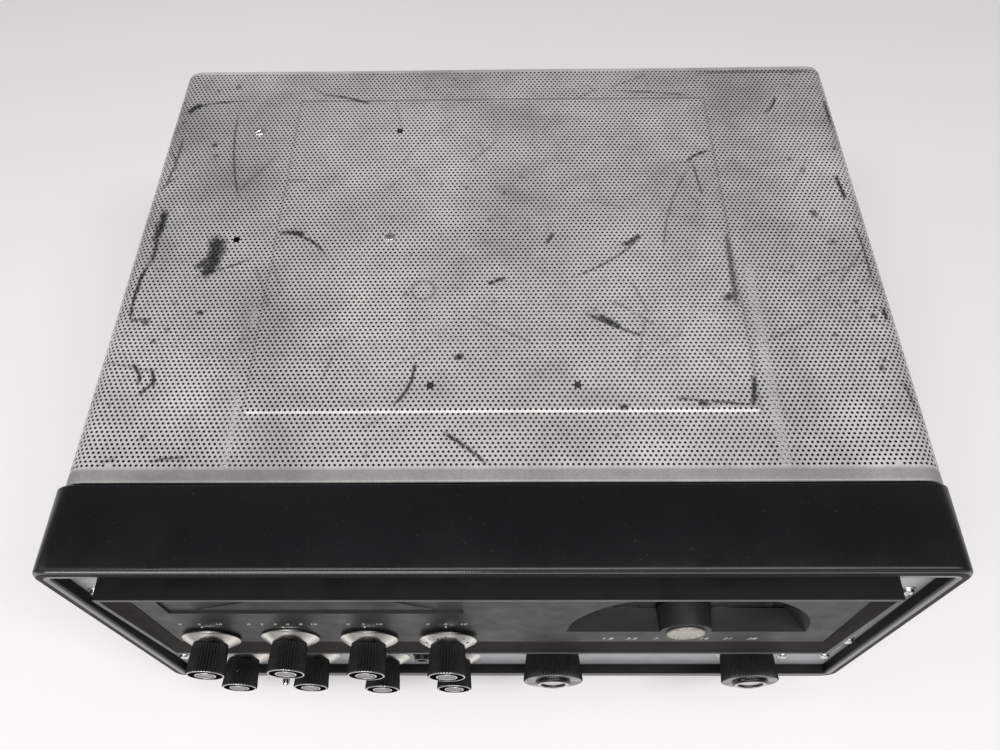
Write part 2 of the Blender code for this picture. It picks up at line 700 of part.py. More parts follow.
def tuning_capacitor():
    """The loading capacitor under the deck: a frame with fixed plates, and the moving plates."""
    slot = "spun_aluminium"
    x = BIG_X[0]
    centre = (x, BIG_Z)
    half = 27.0
    front, back = CAPACITOR
    base = box("capacitor_frame", (x - half, x + half), CAPACITOR, (60.0, 62.5), slot)
    parts = []
    for depth in (front, back - 1.5):
        parts.append(box("end", (x - half, x + half), (depth, depth + 1.5), (61.0, 107.0), slot))
    fixed_z = (61.0, BIG_Z - 4.5)
    for step in range(6):
        depth = front + 5.5 + VANE_PITCH * step
        parts.append(box("fixed", (x - half + 1.0, x + half - 1.0), (depth, depth + VANE), fixed_z, slot))
    join(base, *parts)
    bores = []
    for depth in CAPACITOR:
        bores.append(cylinder("bore", 4.0, (depth - PAST, depth + PAST), slot, centre, segments=16))
    cut(base, *bores)
    rotor_front = LOAD_SHAFT_END + GAP
    origin = (x, rotor_front, BIG_Z)
    span = (rotor_front, back + 2.0)
    rotor = cylinder("capacitor_rotor", SHAFT_RADIUS, span, slot, centre, segments=16, origin=origin)
    vanes = []
    for step in range(5):
        depth = front + 9.5 + VANE_PITCH * step
        outline = []
        for turn in range(13):
            angle = math.pi * turn / 12
            outline.append((x + 18.5 * math.cos(angle), BIG_Z + 18.5 * math.sin(angle)))
        vanes.append(outline_prism("vane", outline, (depth, depth + VANE), slot))
    return join(rotor, *vanes)


def tubes():
    """Two output tubes with top caps and one driver tube, each with its base and socket ring."""
    big = [
        (0.0, DECK + GAP),
        (19.0, DECK + GAP),
        (19.0, DECK + 18.0),
        (22.0, DECK + 24.0),
        (22.0, DECK + 70.0),
        (17.0, DECK + 80.0),
        (6.0, DECK + 84.0),
        (4.5, DECK + 84.5),
        (4.5, DECK + 93.0),
        (0.0, DECK + 93.0),
    ]
    lathe("output_tube_1", big, "tube_glass", (118.0, 300.0), "Z", segments=28)
    lathe("output_tube_2", big, "tube_glass", (178.0, 300.0), "Z", segments=28)
    small = [
        (0.0, DECK + GAP),
        (11.0, DECK + GAP),
        (11.0, DECK + 50.0),
        (8.0, DECK + 56.0),
        (2.0, DECK + 61.0),
        (0.0, DECK + 61.0),
    ]
    lathe("driver_tube", small, "tube_glass", (60.0, 230.0), "Z", segments=20)


def iron_and_can():
    """Power transformer, filter choke and filter capacitor on the deck's left side."""
    low = DECK + GAP
    transformer = box("power_transformer", (-205.0, -95.0), (270.0, 375.0), (low, low + 88.0), "core_steel")
    bell = box("bell", (-190.0, -110.0), (262.0, 383.0), (low + 12.0, low + 76.0), "core_steel")
    join(transformer, bell)
    choke = box("filter_choke", (-200.0, -130.0), (175.0, 235.0), (low, low + 55.0), "core_steel")
    join(choke, box("coil", (-190.0, -140.0), (168.0, 242.0), (low + 8.0, low + 47.0), "core_steel"))
    profile = [(0.0, low), (17.5, low), (17.5, low + 74.0), (16.0, low + 76.0), (0.0, low + 76.0)]
    lathe("filter_capacitor", profile, "spun_aluminium", (-60.0, 300.0), "Z", segments=28)


def vfo_box():
    """The shielded oscillator box that the dial shaft runs into."""
    x = (DIAL_X - 55.0, DIAL_X + 55.0)
    return box("vfo_box", x, (VFO_FRONT, VFO_FRONT + 110.0), (DECK + GAP, DECK + 88.0), "plated_steel")


def rear_fittings():
    """Coaxial socket, fuse holder and screw-terminal strip on the chassis's rear apron."""
    back = CHASSIS_BACK + GAP
    height = 76.0
    profile = [
        (0.0, back),
        (12.0, back),
        (12.0, back + 2.5),
        (8.0, back + 2.5),
        (8.0, REAR_REACH),
        (4.0, REAR_REACH),
        (4.0, back + 8.0),
        (0.0, back + 8.0),
    ]
    lathe("coax_socket", profile, "chrome", (150.0, height), segments=28)
    profile = [
        (0.0, back),
        (9.0, back),
        (9.0, back + 3.0),
        (7.5, back + 3.0),
        (7.5, back + 15.0),
        (0.0, back + 15.0),
    ]
    lathe("fuse_holder", profile, "black_bakelite", (-150.0, height), segments=20)
    slot = "black_bakelite"
    strip_z = (height - 12.0, height + 12.0)
    strip = box("terminal_strip", (-60.0, 40.0), (back, back + 6.0), strip_z, slot)
    studs = []
    for step in range(5):
        centre = (-48.0 + 19.0 * step, height)
        studs.append(cylinder("stud", 3.6, (back + 4.0, back + 9.0), slot, centre, segments=12))
    return join(strip, *studs)


def build():
    """Clear the scene and build every piece."""
    for old in list(bpy.data.objects):
        bpy.data.objects.remove(old)
    front_bezel()
    cabinet_wrap()
    bottom_plate()
    rear_panel()
    front_panel()
    escutcheon()
    dial()
    meter()
    small_knobs()
    big_knobs()
    toggle()
    phone_jack()
    feet()
    chassis()
    tuning_capacitor()
    tubes()
    iron_and_can()
    vfo_box()
    rear_fittings()


build()
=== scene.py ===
"""Looks of the tabletop short-wave set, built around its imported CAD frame.

Lengths here are millimetres in the frame's axes: X to the right, Y to the back, Z up.
Depths are counted from the surround's front face, as in the CAD source.
"""
import json
import math

import bmesh
import bpy
import numpy as np
from mathutils import Matrix, Vector


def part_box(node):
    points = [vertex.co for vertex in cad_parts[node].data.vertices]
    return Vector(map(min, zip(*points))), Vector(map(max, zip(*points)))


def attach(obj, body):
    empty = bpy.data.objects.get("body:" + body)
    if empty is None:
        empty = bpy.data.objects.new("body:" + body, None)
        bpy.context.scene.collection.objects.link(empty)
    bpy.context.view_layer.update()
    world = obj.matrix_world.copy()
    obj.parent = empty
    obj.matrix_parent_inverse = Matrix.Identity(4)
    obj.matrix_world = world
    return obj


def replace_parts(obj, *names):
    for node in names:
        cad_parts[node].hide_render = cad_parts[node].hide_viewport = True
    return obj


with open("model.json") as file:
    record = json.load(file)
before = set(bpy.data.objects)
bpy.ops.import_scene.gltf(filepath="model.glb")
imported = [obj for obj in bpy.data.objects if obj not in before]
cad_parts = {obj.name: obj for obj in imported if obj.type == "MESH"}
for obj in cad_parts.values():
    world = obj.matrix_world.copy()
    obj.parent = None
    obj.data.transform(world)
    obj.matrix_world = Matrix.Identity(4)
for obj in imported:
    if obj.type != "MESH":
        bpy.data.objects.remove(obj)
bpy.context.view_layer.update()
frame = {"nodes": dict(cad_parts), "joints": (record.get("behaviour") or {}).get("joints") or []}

MM = 0.001
ROOT = "set"


def node_box(name):
    """Lowest and highest corner of a CAD node in millimetres."""
    low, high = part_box(name)
    return low / MM, high / MM


SURROUND = node_box("front_bezel")
FRONT = SURROUND[0].y
SURROUND_BACK = SURROUND[1].y - FRONT
SLEEVE = node_box("cabinet_wrap")
ESCUTCHEON = node_box("escutcheon")
PANEL = node_box("front_panel")
DISC = node_box("dial_disc")
WINDOW = node_box("dial_window")
METER = node_box("meter_case")
DIAL_X = (DISC[0].x + DISC[1].x) / 2
DIAL_Z = (DISC[0].z + DISC[1].z) / 2
PANEL_FRONT = PANEL[0].y - FRONT
PRINT_LIFT = 0.04  # printed marks stand this far in front of what they are printed on
ESC_FACE = -3.0  # depth of the escutcheon's flat face
ESC_RIM_LOW = -5.0  # depth of its rim at the bottom
ESC_RIM_TOP = -8.0  # depth of its rim at the top
ESC_BORDER = 3.0  # width of the raised edge
ESC_SLOPE = (12.0, 9.5, 23.5)  # from the outline in to the flat face: left, right, bottom
RNG = np.random.default_rng(7)


# ---------------------------------------------------------------- mesh helpers


def placed(name, data):
    """A new object in the scene."""
    made = bpy.data.objects.new(name, data)
    bpy.context.scene.collection.objects.link(made)
    return made


def shade(data, smooth_deg):
    """Shade a mesh smooth up to an angle."""
    data.shade_smooth()
    data.set_sharp_from_angle(angle=math.radians(smooth_deg))


def piece(name, points, faces, material, body=ROOT, origin=(0, 0, 0), smooth_deg=30.0):
    """A named piece from points in millimetres, riding on a body."""
    data = bpy.data.meshes.new(name)
    at = Vector(origin)
    local = (np.asarray(points, float) - np.array(at)) * MM
    data.from_pydata([tuple(p) for p in local], [], [list(f) for f in faces])
    data.materials.append(material)
    face_outward(data)
    shade(data, smooth_deg)
    made = placed(name, data)
    made.location = at * MM
    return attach(made, body)


def face_outward(data):
    """Turn a mesh's faces outward."""
    work = bmesh.new()
    work.from_mesh(data)
    bmesh.ops.recalc_face_normals(work, faces=work.faces)
    work.to_mesh(data)
    work.free()


def softened(profile, radius, steps=3):
    """A (radius, position) profile with its inner corners rounded."""
    points = [Vector(p) for p in profile]
    result = [tuple(points[0])]
    for before, here, after in zip(points, points[1:], points[2:]):
        to_before = before - here
        to_after = after - here
        reach = min(radius, to_before.length * 0.45, to_after.length * 0.45)
        start = here + to_before.normalized() * reach
        end = here + to_after.normalized() * reach
        for step in range(steps + 1):
            t = step / steps
            result.append(tuple(start * (1 - t) ** 2 + here * 2 * t * (1 - t) + end * t * t))
    return result + [tuple(points[-1])]


def circle(radius, count, turn=0.0):
    """Points (a, b) equally spaced on a circle."""
    angles = [turn + 2 * math.pi * step / count for step in range(count)]
    return [(radius * math.cos(angle), radius * math.sin(angle)) for angle in angles]


def ring_quads(rings, count, closed=False):
    """Quads between rings of equally many points, back to the first ring if closed."""
    faces = []
    for ring in range(rings if closed else rings - 1):
        this = ring * count
        other = (ring + 1) % rings * count
        for at in range(count):
            after = (at + 1) % count
            faces.append((this + at, this + after, other + after, other + at))
    return faces


def revolved(profile, segments):
    """Points (a, along, b) and faces of a (radius, position) profile turned full circle."""
    points = []
    rings = []
    for radius, along in profile:
        spots = circle(radius, segments) if radius > 1e-6 else [(0.0, 0.0)]
        rings.append(range(len(points), len(points) + len(spots)))
        points += [(a, along, b) for a, b in spots]
    faces = []
    for low, high in zip(rings, rings[1:]):
        if len(low) == 1 and len(high) == 1:
            continue
        for step in range(segments):
            after = (step + 1) % segments
            if len(low) == 1:
                faces.append((low[0], high[after], high[step]))
            elif len(high) == 1:
                faces.append((low[step], low[after], high[0]))
            else:
                faces.append((low[step], low[after], high[after], high[step]))
    return points, faces


def turned(name, profile, centre, material, body=ROOT, segments=64, axis="Y", smooth_deg=30.0):
    """A (radius, position) profile turned about an axis, closed where it meets the axis."""
    points, faces = revolved(profile, segments)
    middle = sum(p[1] for p in profile) / len(profile)
    if axis == "Y":
        points = [(centre[0] + a, FRONT + along, centre[1] + b) for a, along, b in points]
        origin = (centre[0], FRONT + middle, centre[1])
    else:
        points = [(centre[0] + a, centre[1] + b, along) for a, along, b in points]
        origin = (centre[0], centre[1], middle)
    return piece(name, points, faces, material, body, origin, smooth_deg)


def rounded_outline(x0, x1, z0, z1, radius, steps=8):
    """The (x, z) outline of a rectangle with rounded corners."""
    corners = ((x1, z0, -90), (x1, z1, 0), (x0, z1, 90), (x0, z0, 180))
    outline = []
    for x, z, start in corners:
        centre_x = x - math.copysign(radius, x - (x0 + x1) / 2)
        centre_z = z - math.copysign(radius, z - (z0 + z1) / 2)
        for step in range(steps + 1):
            angle = math.radians(start + 90 * step / steps)
            outline.append((centre_x + radius * math.cos(angle), centre_z + radius * math.sin(angle)))
    return outline


def extruded(name, outline, depths, material):
    """An (x, z) outline made solid between two depths."""
    count = len(outline)
    points = [(x, FRONT + depth, z) for depth in depths for x, z in outline]
    ends = [tuple(range(count)), tuple(range(2 * count - 1, count - 1, -1))]
    return piece(name, points, ends + ring_quads(2, count), material)


def add_bevel(made, width, segments=2, angle=35.0):
    """A bevel on the sharp edges, with the normals kept flat on the large faces."""
    bevel = made.modifiers.new("edges", "BEVEL")
    bevel.width = width * MM
    bevel.segments = segments
    bevel.limit_method = "ANGLE"
    bevel.angle_limit = math.radians(angle)
    bevel.harden_normals = True
    return made


def detailed_copy(node, material, bevel=0.0, segments=2):
    """A copy of a CAD node's shape with welded faces and bevelled edges, in place of the node."""
    work = bmesh.new()
    work.from_mesh(frame["nodes"][node].data)
    bmesh.ops.remove_doubles(work, verts=work.verts, dist=0.00001)
    bmesh.ops.dissolve_limit(work, angle_limit=math.radians(1.0), verts=work.verts, edges=work.edges)
    data = bpy.data.meshes.new(node + "_detail")
    work.to_mesh(data)
    work.free()
    data.materials.append(M[material])
    shade(data, 30.0)
    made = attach(placed(node + "_detail", data), ROOT)
    if bevel:
        add_bevel(made, bevel, segments)
    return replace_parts(made, node)


# ---------------------------------------------------------------- materials


class Graph:
    """A material's node tree with short calls for the nodes used here."""

    def __init__(self, name, colour, metallic=0.0, roughness=0.5, **more):
        self.material = bpy.data.materials.new(name)
        self.material.use_nodes = True
        self.tree = self.material.node_tree
        self.shader = self.tree.nodes["Principled BSDF"]
        self.set("Base Color", (*colour, 1.0))
        self.set("Metallic", metallic)
        self.set("Roughness", roughness)
        for key, value in more.items():
            self.set(key.replace("_", " "), value)
        self.bumps = None

    def set(self, socket, value):
        """A constant on the shader's own socket."""
        self.shader.inputs[socket].default_value = value

    def node(self, kind, **values):
        """A new node with some of its inputs or settings given."""
        made = self.tree.nodes.new("ShaderNode" + kind)
        for key, value in values.items():
            name = key.replace("_", " ").title()
            if name in made.inputs:
                made.inputs[name].default_value = value
            else:
                setattr(made, key, value)
        return made

    def link(self, source, target):
        """A link from an output to an input."""
        self.tree.links.new(source, target)

    def feed(self, socket, value):
        """An input from another node's output, a colour or a number."""
        if isinstance(value, bpy.types.NodeSocket):
            self.link(value, socket)
        elif hasattr(value, "__len__"):
            socket.default_value = (*value, 1.0)
        else:
            socket.default_value = value

    def place(self):
        """Object coordinates."""
        return self.node("TexCoord").outputs["Object"]

    def noise(self, scale, detail=4.0, roughness=0.55, stretch=(1, 1, 1)):
        """Noise in object space, stretched along the axes."""
        mapping = self.node("Mapping", scale=stretch)
        self.link(self.place(), mapping.inputs["Vector"])
        noise = self.node("TexNoise", scale=scale, detail=detail, roughness=roughness)
        self.link(mapping.outputs["Vector"], noise.inputs["Vector"])
        return noise.outputs["Fac"]

    def ramp(self, value, stops):
        """A colour or grey ramp of (position, colour) stops."""
        ramp = self.node("ValToRGB")
        elements = ramp.color_ramp.elements
        while len(elements) < len(stops):
            elements.new(0.5)
        for element, (position, colour) in zip(elements, stops):
            element.position = position
            if not hasattr(colour, "__len__"):
                colour = (colour, colour, colour)
            element.color = (*colour, 1.0)
        self.link(value, ramp.inputs["Fac"])
        return ramp.outputs["Color"]

    def mix(self, factor, a, b, blend="MIX"):
        """Two colours mixed by a factor; each may be a socket or a plain value."""
        mix = self.node("Mix", data_type="RGBA", blend_type=blend)
        for at, value in ((0, factor), (6, a), (7, b)):
            self.feed(mix.inputs[at], value)
        return mix.outputs[2]

    def math(self, operation, a, b=0.5):
        """One maths node on sockets or numbers."""
        node = self.node("Math", operation=operation)
        self.feed(node.inputs[0], a)
        self.feed(node.inputs[1], b)
        return node.outputs[0]

    def bump(self, height, strength, distance_mm):
        """A bump under the shader's normal, on top of any earlier one."""
        bump = self.node("Bump", strength=strength, distance=distance_mm * MM)
        self.link(height, bump.inputs["Height"])
        if self.bumps:
            self.link(self.bumps, bump.inputs["Normal"])
        self.bumps = bump.outputs["Normal"]
        self.link(self.bumps, self.shader.inputs["Normal"])

    def attribute(self, name):
        """A float attribute stored on the mesh."""
        return self.node("Attribute", attribute_name=name).outputs["Fac"]

    def drive(self, socket, value):
        """A socket of the shader from a texture."""
        self.link(value, self.shader.inputs[socket])


def mottled(name, colour, surface, noise, stops, bump=None, **sockets):
    """A surface whose colour runs along a noise, over an optional bump.

    Surface is (metallic, roughness). Noise and bump hold the arguments of a noise, and bump ends
    with its strength and height.
    """
    graph = Graph(name, colour, *surface, **sockets)
    tone = graph.noise(*noise)
    graph.drive("Base Color", graph.ramp(tone, stops))
    if bump:
        graph.bump(graph.noise(*bump[:-2]), *bump[-2:])
    return graph.material


def paint(name, colour, roughness, texture_scale, texture_mm, spread=0.12, metallic=0.0, **sockets):
    """Sprayed paint: fine orange peel, slow colour change and uneven gloss."""
    graph = Graph(name, colour, metallic, roughness, **sockets)
    dark = tuple(c * (1 - spread) for c in colour)
    light = tuple(min(1.0, c * (1 + spread)) for c in colour)
    slow = graph.noise(18.0, 5.0, 0.6)
    graph.drive("Base Color", graph.ramp(slow, ((0.3, dark), (0.7, light))))
    uneven = graph.noise(60.0, 3.0)
    graph.drive("Roughness", graph.ramp(uneven, ((0.3, roughness - 0.06), (0.7, roughness + 0.08))))
    graph.bump(graph.noise(texture_scale, 2.0), 0.5, texture_mm)
    return graph.material


def cast_paint(name, colour, roughness, spread=0.12, **sockets):
    """Charcoal paint with the fine grain of a sprayed casting."""
    return paint(name, colour, roughness, 1500.0, 0.05, spread, **sockets)


def surround_paint(name, gloss, shine, texture, index=1.5):
    """Black enamel with a fine texture, faint dust and bare chips along the front arris."""
    smooth, rough = gloss
    graph = Graph(name, (0.006, 0.006, 0.0065), 0.0, rough, Specular_IOR_Level=shine, IOR=index)
    chips = graph.noise(230.0, 3.0, 0.75)
    edge = graph.attribute("arris")
    chipped = graph.math("GREATER_THAN", graph.math("MULTIPLY", chips, edge), 0.60)
    dust = graph.ramp(graph.noise(650.0, 1.0), ((0.72, 0.0), (0.80, 0.07)))
    marked = graph.math("MAXIMUM", chipped, dust)
    slow = graph.noise(14.0, 5.0, 0.6)
    base = graph.ramp(slow, ((0.3, (0.003, 0.003, 0.004)), (0.7, (0.0065, 0.0065, 0.0078))))
    graph.drive("Base Color", graph.mix(marked, base, (0.30, 0.29, 0.27)))
    graph.drive("Roughness", graph.ramp(graph.noise(26.0, 6.0, 0.65), ((0.3, smooth), (0.7, rough))))
    graph.bump(graph.noise(1300.0, 2.0), texture, 0.03)
    graph.bump(graph.noise(30.0, 3.0), 0.25, 0.15)
    return graph.material


SILVER_STOPS = (
    (0.34, (0.42, 0.407, 0.390)),
    (0.50, (0.61, 0.593, 0.569)),
    (0.68, (0.76, 0.741, 0.712)),
)


def sleeve_paint():
    """Silver-grey enamel on the perforated sheet, mottled and scuffed down to dark marks, with painted
    shade: hole walls near-black and a dark line along the raised field's edge.
    """
    graph = Graph("silver_enamel", (0.36, 0.355, 0.34), 0.3, 0.4)
    mottle = graph.noise(8.0, 7.0, 0.66)
    cloudy = graph.noise(34.0, 5.0, 0.65)
    base = graph.ramp(mottle, SILVER_STOPS)
    base = graph.mix(graph.ramp(cloudy, ((0.42, 0.0), (0.72, 0.32))), base, (0.24, 0.236, 0.228))
    grime = graph.noise(1500.0, 2.0, 0.7)
    base = graph.mix(graph.ramp(grime, ((0.5, 0.0), (0.8, 0.4))), base, (0.16, 0.155, 0.15))
    # This attribute holds rubbed marks and stains, and a painted shade line along the raised field's edge.
    rubbing_and_shade = graph.attribute("wear_and_shade")
    grain = graph.noise(520.0, 3.0, 0.75)
    broken = graph.math("MULTIPLY", rubbing_and_shade, graph.ramp(grain, ((0.25, 0.8), (0.55, 1.0))))
    # Faces inside the holes are painted near-black: painted shade in the holes.
    broken = graph.math("MAXIMUM", broken, graph.attribute("bore"))
    graph.drive("Base Color", graph.mix(broken, base, (0.020, 0.020, 0.020)))
    shine = graph.ramp(mottle, ((0.3, 0.34), (0.7, 0.50)))
    graph.drive("Roughness", graph.mix(broken, shine, (0.6, 0.6, 0.6)))
    graph.bump(graph.noise(900.0, 2.0), 0.35, 0.03)
    return graph.material


def dull_black():
    """Matt black infill of the small knobs' faces."""
    graph = Graph("knob_infill", (0.004, 0.004, 0.004), 0.0, 0.8, Specular_IOR_Level=0.0)
    graph.bump(graph.noise(800.0, 2.0), 0.3, 0.02)
    return graph.material


def knob_plastic():
    """Black moulded plastic, a little greasy between its flutes."""
    graph = Graph("knob_black", (0.008, 0.008, 0.008), 0.0, 0.38, Specular_IOR_Level=0.3)
    dust = graph.noise(350.0, 4.0, 0.7)
    dusty = graph.ramp(dust, ((0.4, (0.008, 0.008, 0.008)), (0.8, (0.022, 0.020, 0.018))))
    graph.drive("Base Color", dusty)
    graph.drive("Roughness", graph.ramp(graph.noise(120.0), ((0.3, 0.30), (0.7, 0.48))))
    graph.bump(dust, 0.25, 0.02)
    return graph.material


# Painted highlights round a spun part: bright and dim sectors painted into the base colour in place of the
# turning marks' sheen
PAINTED_SHEEN_STOPS = (
    (0.00, 0.85), (0.06, 0.42), (0.12, 1.00), (0.20, 0.50),
    (0.27, 0.48), (0.31, 1.00), (0.45, 0.34), (0.55, 1.00),
    (0.64, 0.42), (0.69, 0.40), (0.73, 1.00), (0.78, 0.52),
    (0.84, 0.40), (0.90, 1.00), (0.96, 0.50), (1.00, 0.85),
)


def spun_metal(name="spun_aluminium", colour=(0.66, 0.645, 0.60), roughness=0.24):
    """Metal turned on a lathe: fine rings, and painted highlights in the base colour that fan out from the
    centre.
    """
    graph = Graph(name, colour, 1.0, roughness, Anisotropic=0.75)
    tangent = graph.node("Tangent", direction_type="RADIAL", axis="Y")
    graph.link(tangent.outputs["Tangent"], graph.shader.inputs["Tangent"])
    stain = graph.noise(140.0, 5.0, 0.65)
    dull = tuple(c * 0.88 for c in colour)
    metal = graph.ramp(stain, ((0.35, dull), (0.55, colour)))
    separate = graph.node("SeparateXYZ")
    graph.link(graph.place(), separate.inputs[0])
    plane = graph.node("CombineXYZ")
    graph.link(separate.outputs[0], plane.inputs[0])
    graph.link(separate.outputs[2], plane.inputs[1])
    # Painted highlight: brightness by angle round the centre, multiplied into the base colour.
    turn = graph.node("TexGradient", gradient_type="RADIAL")
    graph.link(plane.outputs[0], turn.inputs[0])
    painted_sheen = graph.ramp(turn.outputs["Fac"], PAINTED_SHEEN_STOPS)
    graph.drive("Base Color", graph.mix(1.0, metal, painted_sheen, "MULTIPLY"))
    x2 = graph.math("POWER", separate.outputs[0], 2.0)
    z2 = graph.math("POWER", separate.outputs[2], 2.0)
    reach = graph.math("SQRT", graph.math("ADD", x2, z2))
    rings = graph.math("SINE", graph.math("MULTIPLY", reach, 26000.0))
    graph.bump(rings, 0.12, 0.01)
    return graph.material


def bright_metal(name, colour, roughness, scratch=0.2):
    """Plated or polished metal with light handling marks."""
    graph = Graph(name, colour, 1.0, roughness)
    marks = graph.noise(220.0, 5.0, 0.7)
    dull = tuple(c * 0.7 for c in colour)
    graph.drive("Base Color", graph.ramp(marks, ((0.3, dull), (0.55, colour))))
    graph.drive("Roughness", graph.ramp(marks, ((0.3, roughness + 0.15), (0.6, roughness))))
    graph.bump(graph.noise(900.0, 3.0, 0.7, (1, 1, 0.15)), scratch, 0.02)
    return graph.material


def clear_plastic():
    """Clear window plastic with a faint haze of fine scratches."""
    graph = Graph("clear_plastic", (0.95, 0.97, 0.95), 0.0, 0.06, Transmission_Weight=1.0, IOR=1.46)
    haze = graph.noise(500.0, 4.0, 0.7, (1, 1, 0.2))
    graph.drive("Roughness", graph.ramp(haze, ((0.5, 0.03), (0.8, 0.16))))
    return graph.material


def ink(name, colour):
    """Printed ink, slightly broken."""
    pale = tuple(c * 0.75 for c in colour)
    return mottled(name, colour, (0.0, 0.55), (900.0, 3.0, 0.7), ((0.35, pale), (0.55, colour)))


def printed_face(name, dark, light):
    """A printed scale's background with a paper-like unevenness."""
    stops = ((0.3, dark), (0.7, light))
    return mottled(name, light, (0.0, 0.5), (40.0, 5.0, 0.6), stops, (800.0, 2.0, 0.2, 0.01))


def rubber():
    """Black rubber with a chalky bloom."""
    stops = ((0.4, (0.018, 0.018, 0.018)), (0.8, (0.06, 0.058, 0.055)))
    surface = (0.0, 0.8)
    bump = (1200.0, 0.4, 0.05)
    return mottled("foot_rubber", (0.022, 0.022, 0.022), surface, (90.0, 6.0, 0.7), stops, bump)


def badge_metal():
    """The badge blank: brushed, warm grey and pitted."""
    stops = ((0.35, (0.24, 0.22, 0.19)), (0.6, (0.50, 0.47, 0.42)))
    pits = (700.0, 4.0, 0.7)
    return mottled("badge_metal", (0.42, 0.39, 0.34), (0.8, 0.42), pits, stops, (*pits, 0.5, 0.06))


def tube_glass():
    """Clear glass with a grey film inside."""
    stops = ((0.35, (0.55, 0.57, 0.56)), (0.7, (0.92, 0.94, 0.93)))
    sockets = {"Transmission_Weight": 0.9, "IOR": 1.5}
    return mottled("tube_glass", (0.88, 0.90, 0.89), (0.0, 0.04), (60.0, 4.0), stops, **sockets)


M = {
    "surround": surround_paint("black_satin", (0.24, 0.40), 0.34, 0.45),
    "lip": surround_paint("black_gloss_lip", (0.10, 0.16), 1.0, 0.18, 1.8),
    "mouth": paint("black_mouth", (0.004, 0.004, 0.0042), 0.5, 1300.0, 0.03, Specular_IOR_Level=0.12),
    "sleeve": sleeve_paint(),
    "casting": cast_paint("charcoal_casting", (0.016, 0.016, 0.0172), 0.46, 0.18, Specular_IOR_Level=0.3),
    "panel": paint("panel_grey", (0.41, 0.425, 0.44), 0.36, 1100.0, 0.03, 0.08, 0.3),
    "knob": knob_plastic(),
    "spun": spun_metal("spun_aluminium", (0.76, 0.745, 0.70), 0.24),
    "ring": bright_metal("ring_metal", (0.62, 0.615, 0.60), 0.25),
    "cap": spun_metal("cap_metal", (0.15, 0.15, 0.148), 0.16),
    "nut": bright_metal("blackened_nut", (0.10, 0.098, 0.095), 0.3),
    "chrome": bright_metal("chrome_plate", (0.82, 0.81, 0.79), 0.1, 0.1),
    "screw": bright_metal("nickel_screw", (0.80, 0.78, 0.74), 0.2),
    "plated": bright_metal("zinc_plate", (0.60, 0.60, 0.57), 0.38),
    "clear": clear_plastic(),
    "glass": tube_glass(),
    "dial": printed_face("dial_black", (0.012, 0.012, 0.011), (0.022, 0.021, 0.018)),
    "meter": printed_face("meter_ivory", (0.60, 0.56, 0.45), (0.72, 0.69, 0.60)),
    # Warmer, duller copy of the casting paint for the escutcheon's slopes: painted shade.
    "slope": cast_paint("charcoal_slope_shaded", (0.016, 0.015, 0.014), 0.7, 0.18, Specular_IOR_Level=0.1),
    # Lighter copy of the casting paint for the escutcheon's raised edge: painted light.
    "lit_border": cast_paint("charcoal_border_lit", (0.045, 0.045, 0.046), 0.42),
    "scale": ink("scale_ink", (0.55, 0.52, 0.40)),
    "dull": dull_black(),
    "gloss": paint("black_gloss", (0.006, 0.006, 0.006), 0.14, 500.0, 0.01),
    "white": ink("white_ink", (0.82, 0.82, 0.80)),
    "black": ink("black_ink", (0.02, 0.02, 0.02)),
    "bakelite": paint("black_bakelite", (0.014, 0.012, 0.011), 0.25, 600.0, 0.01),
    "rubber": rubber(),
    "badge": badge_metal(),
    "lacquer": paint("core_lacquer", (0.03, 0.03, 0.032), 0.4, 400.0, 0.05),
    "face_grey": spun_metal("knob_face_grey", (0.36, 0.36, 0.365), 0.3),
    # Darker copy of the casting paint for the escutcheon's top faces: painted shade.
    "shaded_hood": cast_paint("charcoal_hood_shaded", (0.004, 0.004, 0.0046), 0.46, 0.18, Specular_IOR_Level=0.25),
}


# ---------------------------------------------------------------- surround

SURROUND_RADIUS = 12.0
SURROUND_LIP = 10.5
SURROUND_WALL = 4.0
TONGUE = 3.9
ARRIS = 3.6
# Strips between the section's points, counted from the tongue
GLOSSY_RINGS = (7, 8, 9, 13, 14)
SHADED_RINGS = (10, 11, 12, 16, 17)


def surround_outline(inset):
    """The surround's outline moved inward by an inset."""
    low, high = SURROUND
    radius = max(SURROUND_RADIUS - inset, 1.5)
    return rounded_outline(low.x + inset, high.x - inset, low.z + inset, high.z - inset, radius)


def surround_profile():
    """The surround's section as (inset, depth) pairs: tongue, arris, lip, rebate and back."""
    lip = SURROUND_LIP
    rebate = PANEL_FRONT - 0.3
    inside = SURROUND_BACK + 5.0
    profile = [(TONGUE, inside), (TONGUE, SURROUND_BACK), (0.8, SURROUND_BACK), (0.0, SURROUND_BACK - 0.8)]
    for step in range(9):
        angle = math.radians(90 * step / 8)
        profile.append((ARRIS * (1 - math.cos(angle)), ARRIS * (1 - math.sin(angle))))
    profile += [(lip - 4.3, 0.0), (lip - 2.4, 0.0), (lip - 1.2, 0.25), (lip - 0.35, 1.1), (lip, 2.4)]
    return profile + [(lip, rebate), (SURROUND_WALL, rebate), (SURROUND_WALL, inside)]


def front_surround():
    """The black surround: its section swept round its outline, with glossy and shaded rings."""
    profile = surround_profile()
    count = len(surround_outline(0.0))
    points = []
    weights = []
    for inset, depth in profile:
        points += [(x, FRONT + depth, z) for x, z in surround_outline(inset)]
        weights += [max(0.0, 1.0 - math.hypot(inset - 1.2, depth - 1.2) / 2.6)] * count
    faces = ring_quads(len(profile), count, closed=True)
    made = piece("front_surround", points, faces, M["surround"], smooth_deg=50.0)
    made.data.materials.append(M["lip"])
    made.data.materials.append(M["mouth"])
    for polygon in made.data.polygons:
        ring = polygon.index // count
        if ring in GLOSSY_RINGS:
            polygon.material_index = 1
        elif ring in SHADED_RINGS:
            polygon.material_index = 2
    arris = made.data.attributes.new("arris", "FLOAT", "POINT")
    arris.data.foreach_set("value", weights)
    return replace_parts(made, "front_bezel")


# ---------------------------------------------------------------- perforated sleeve

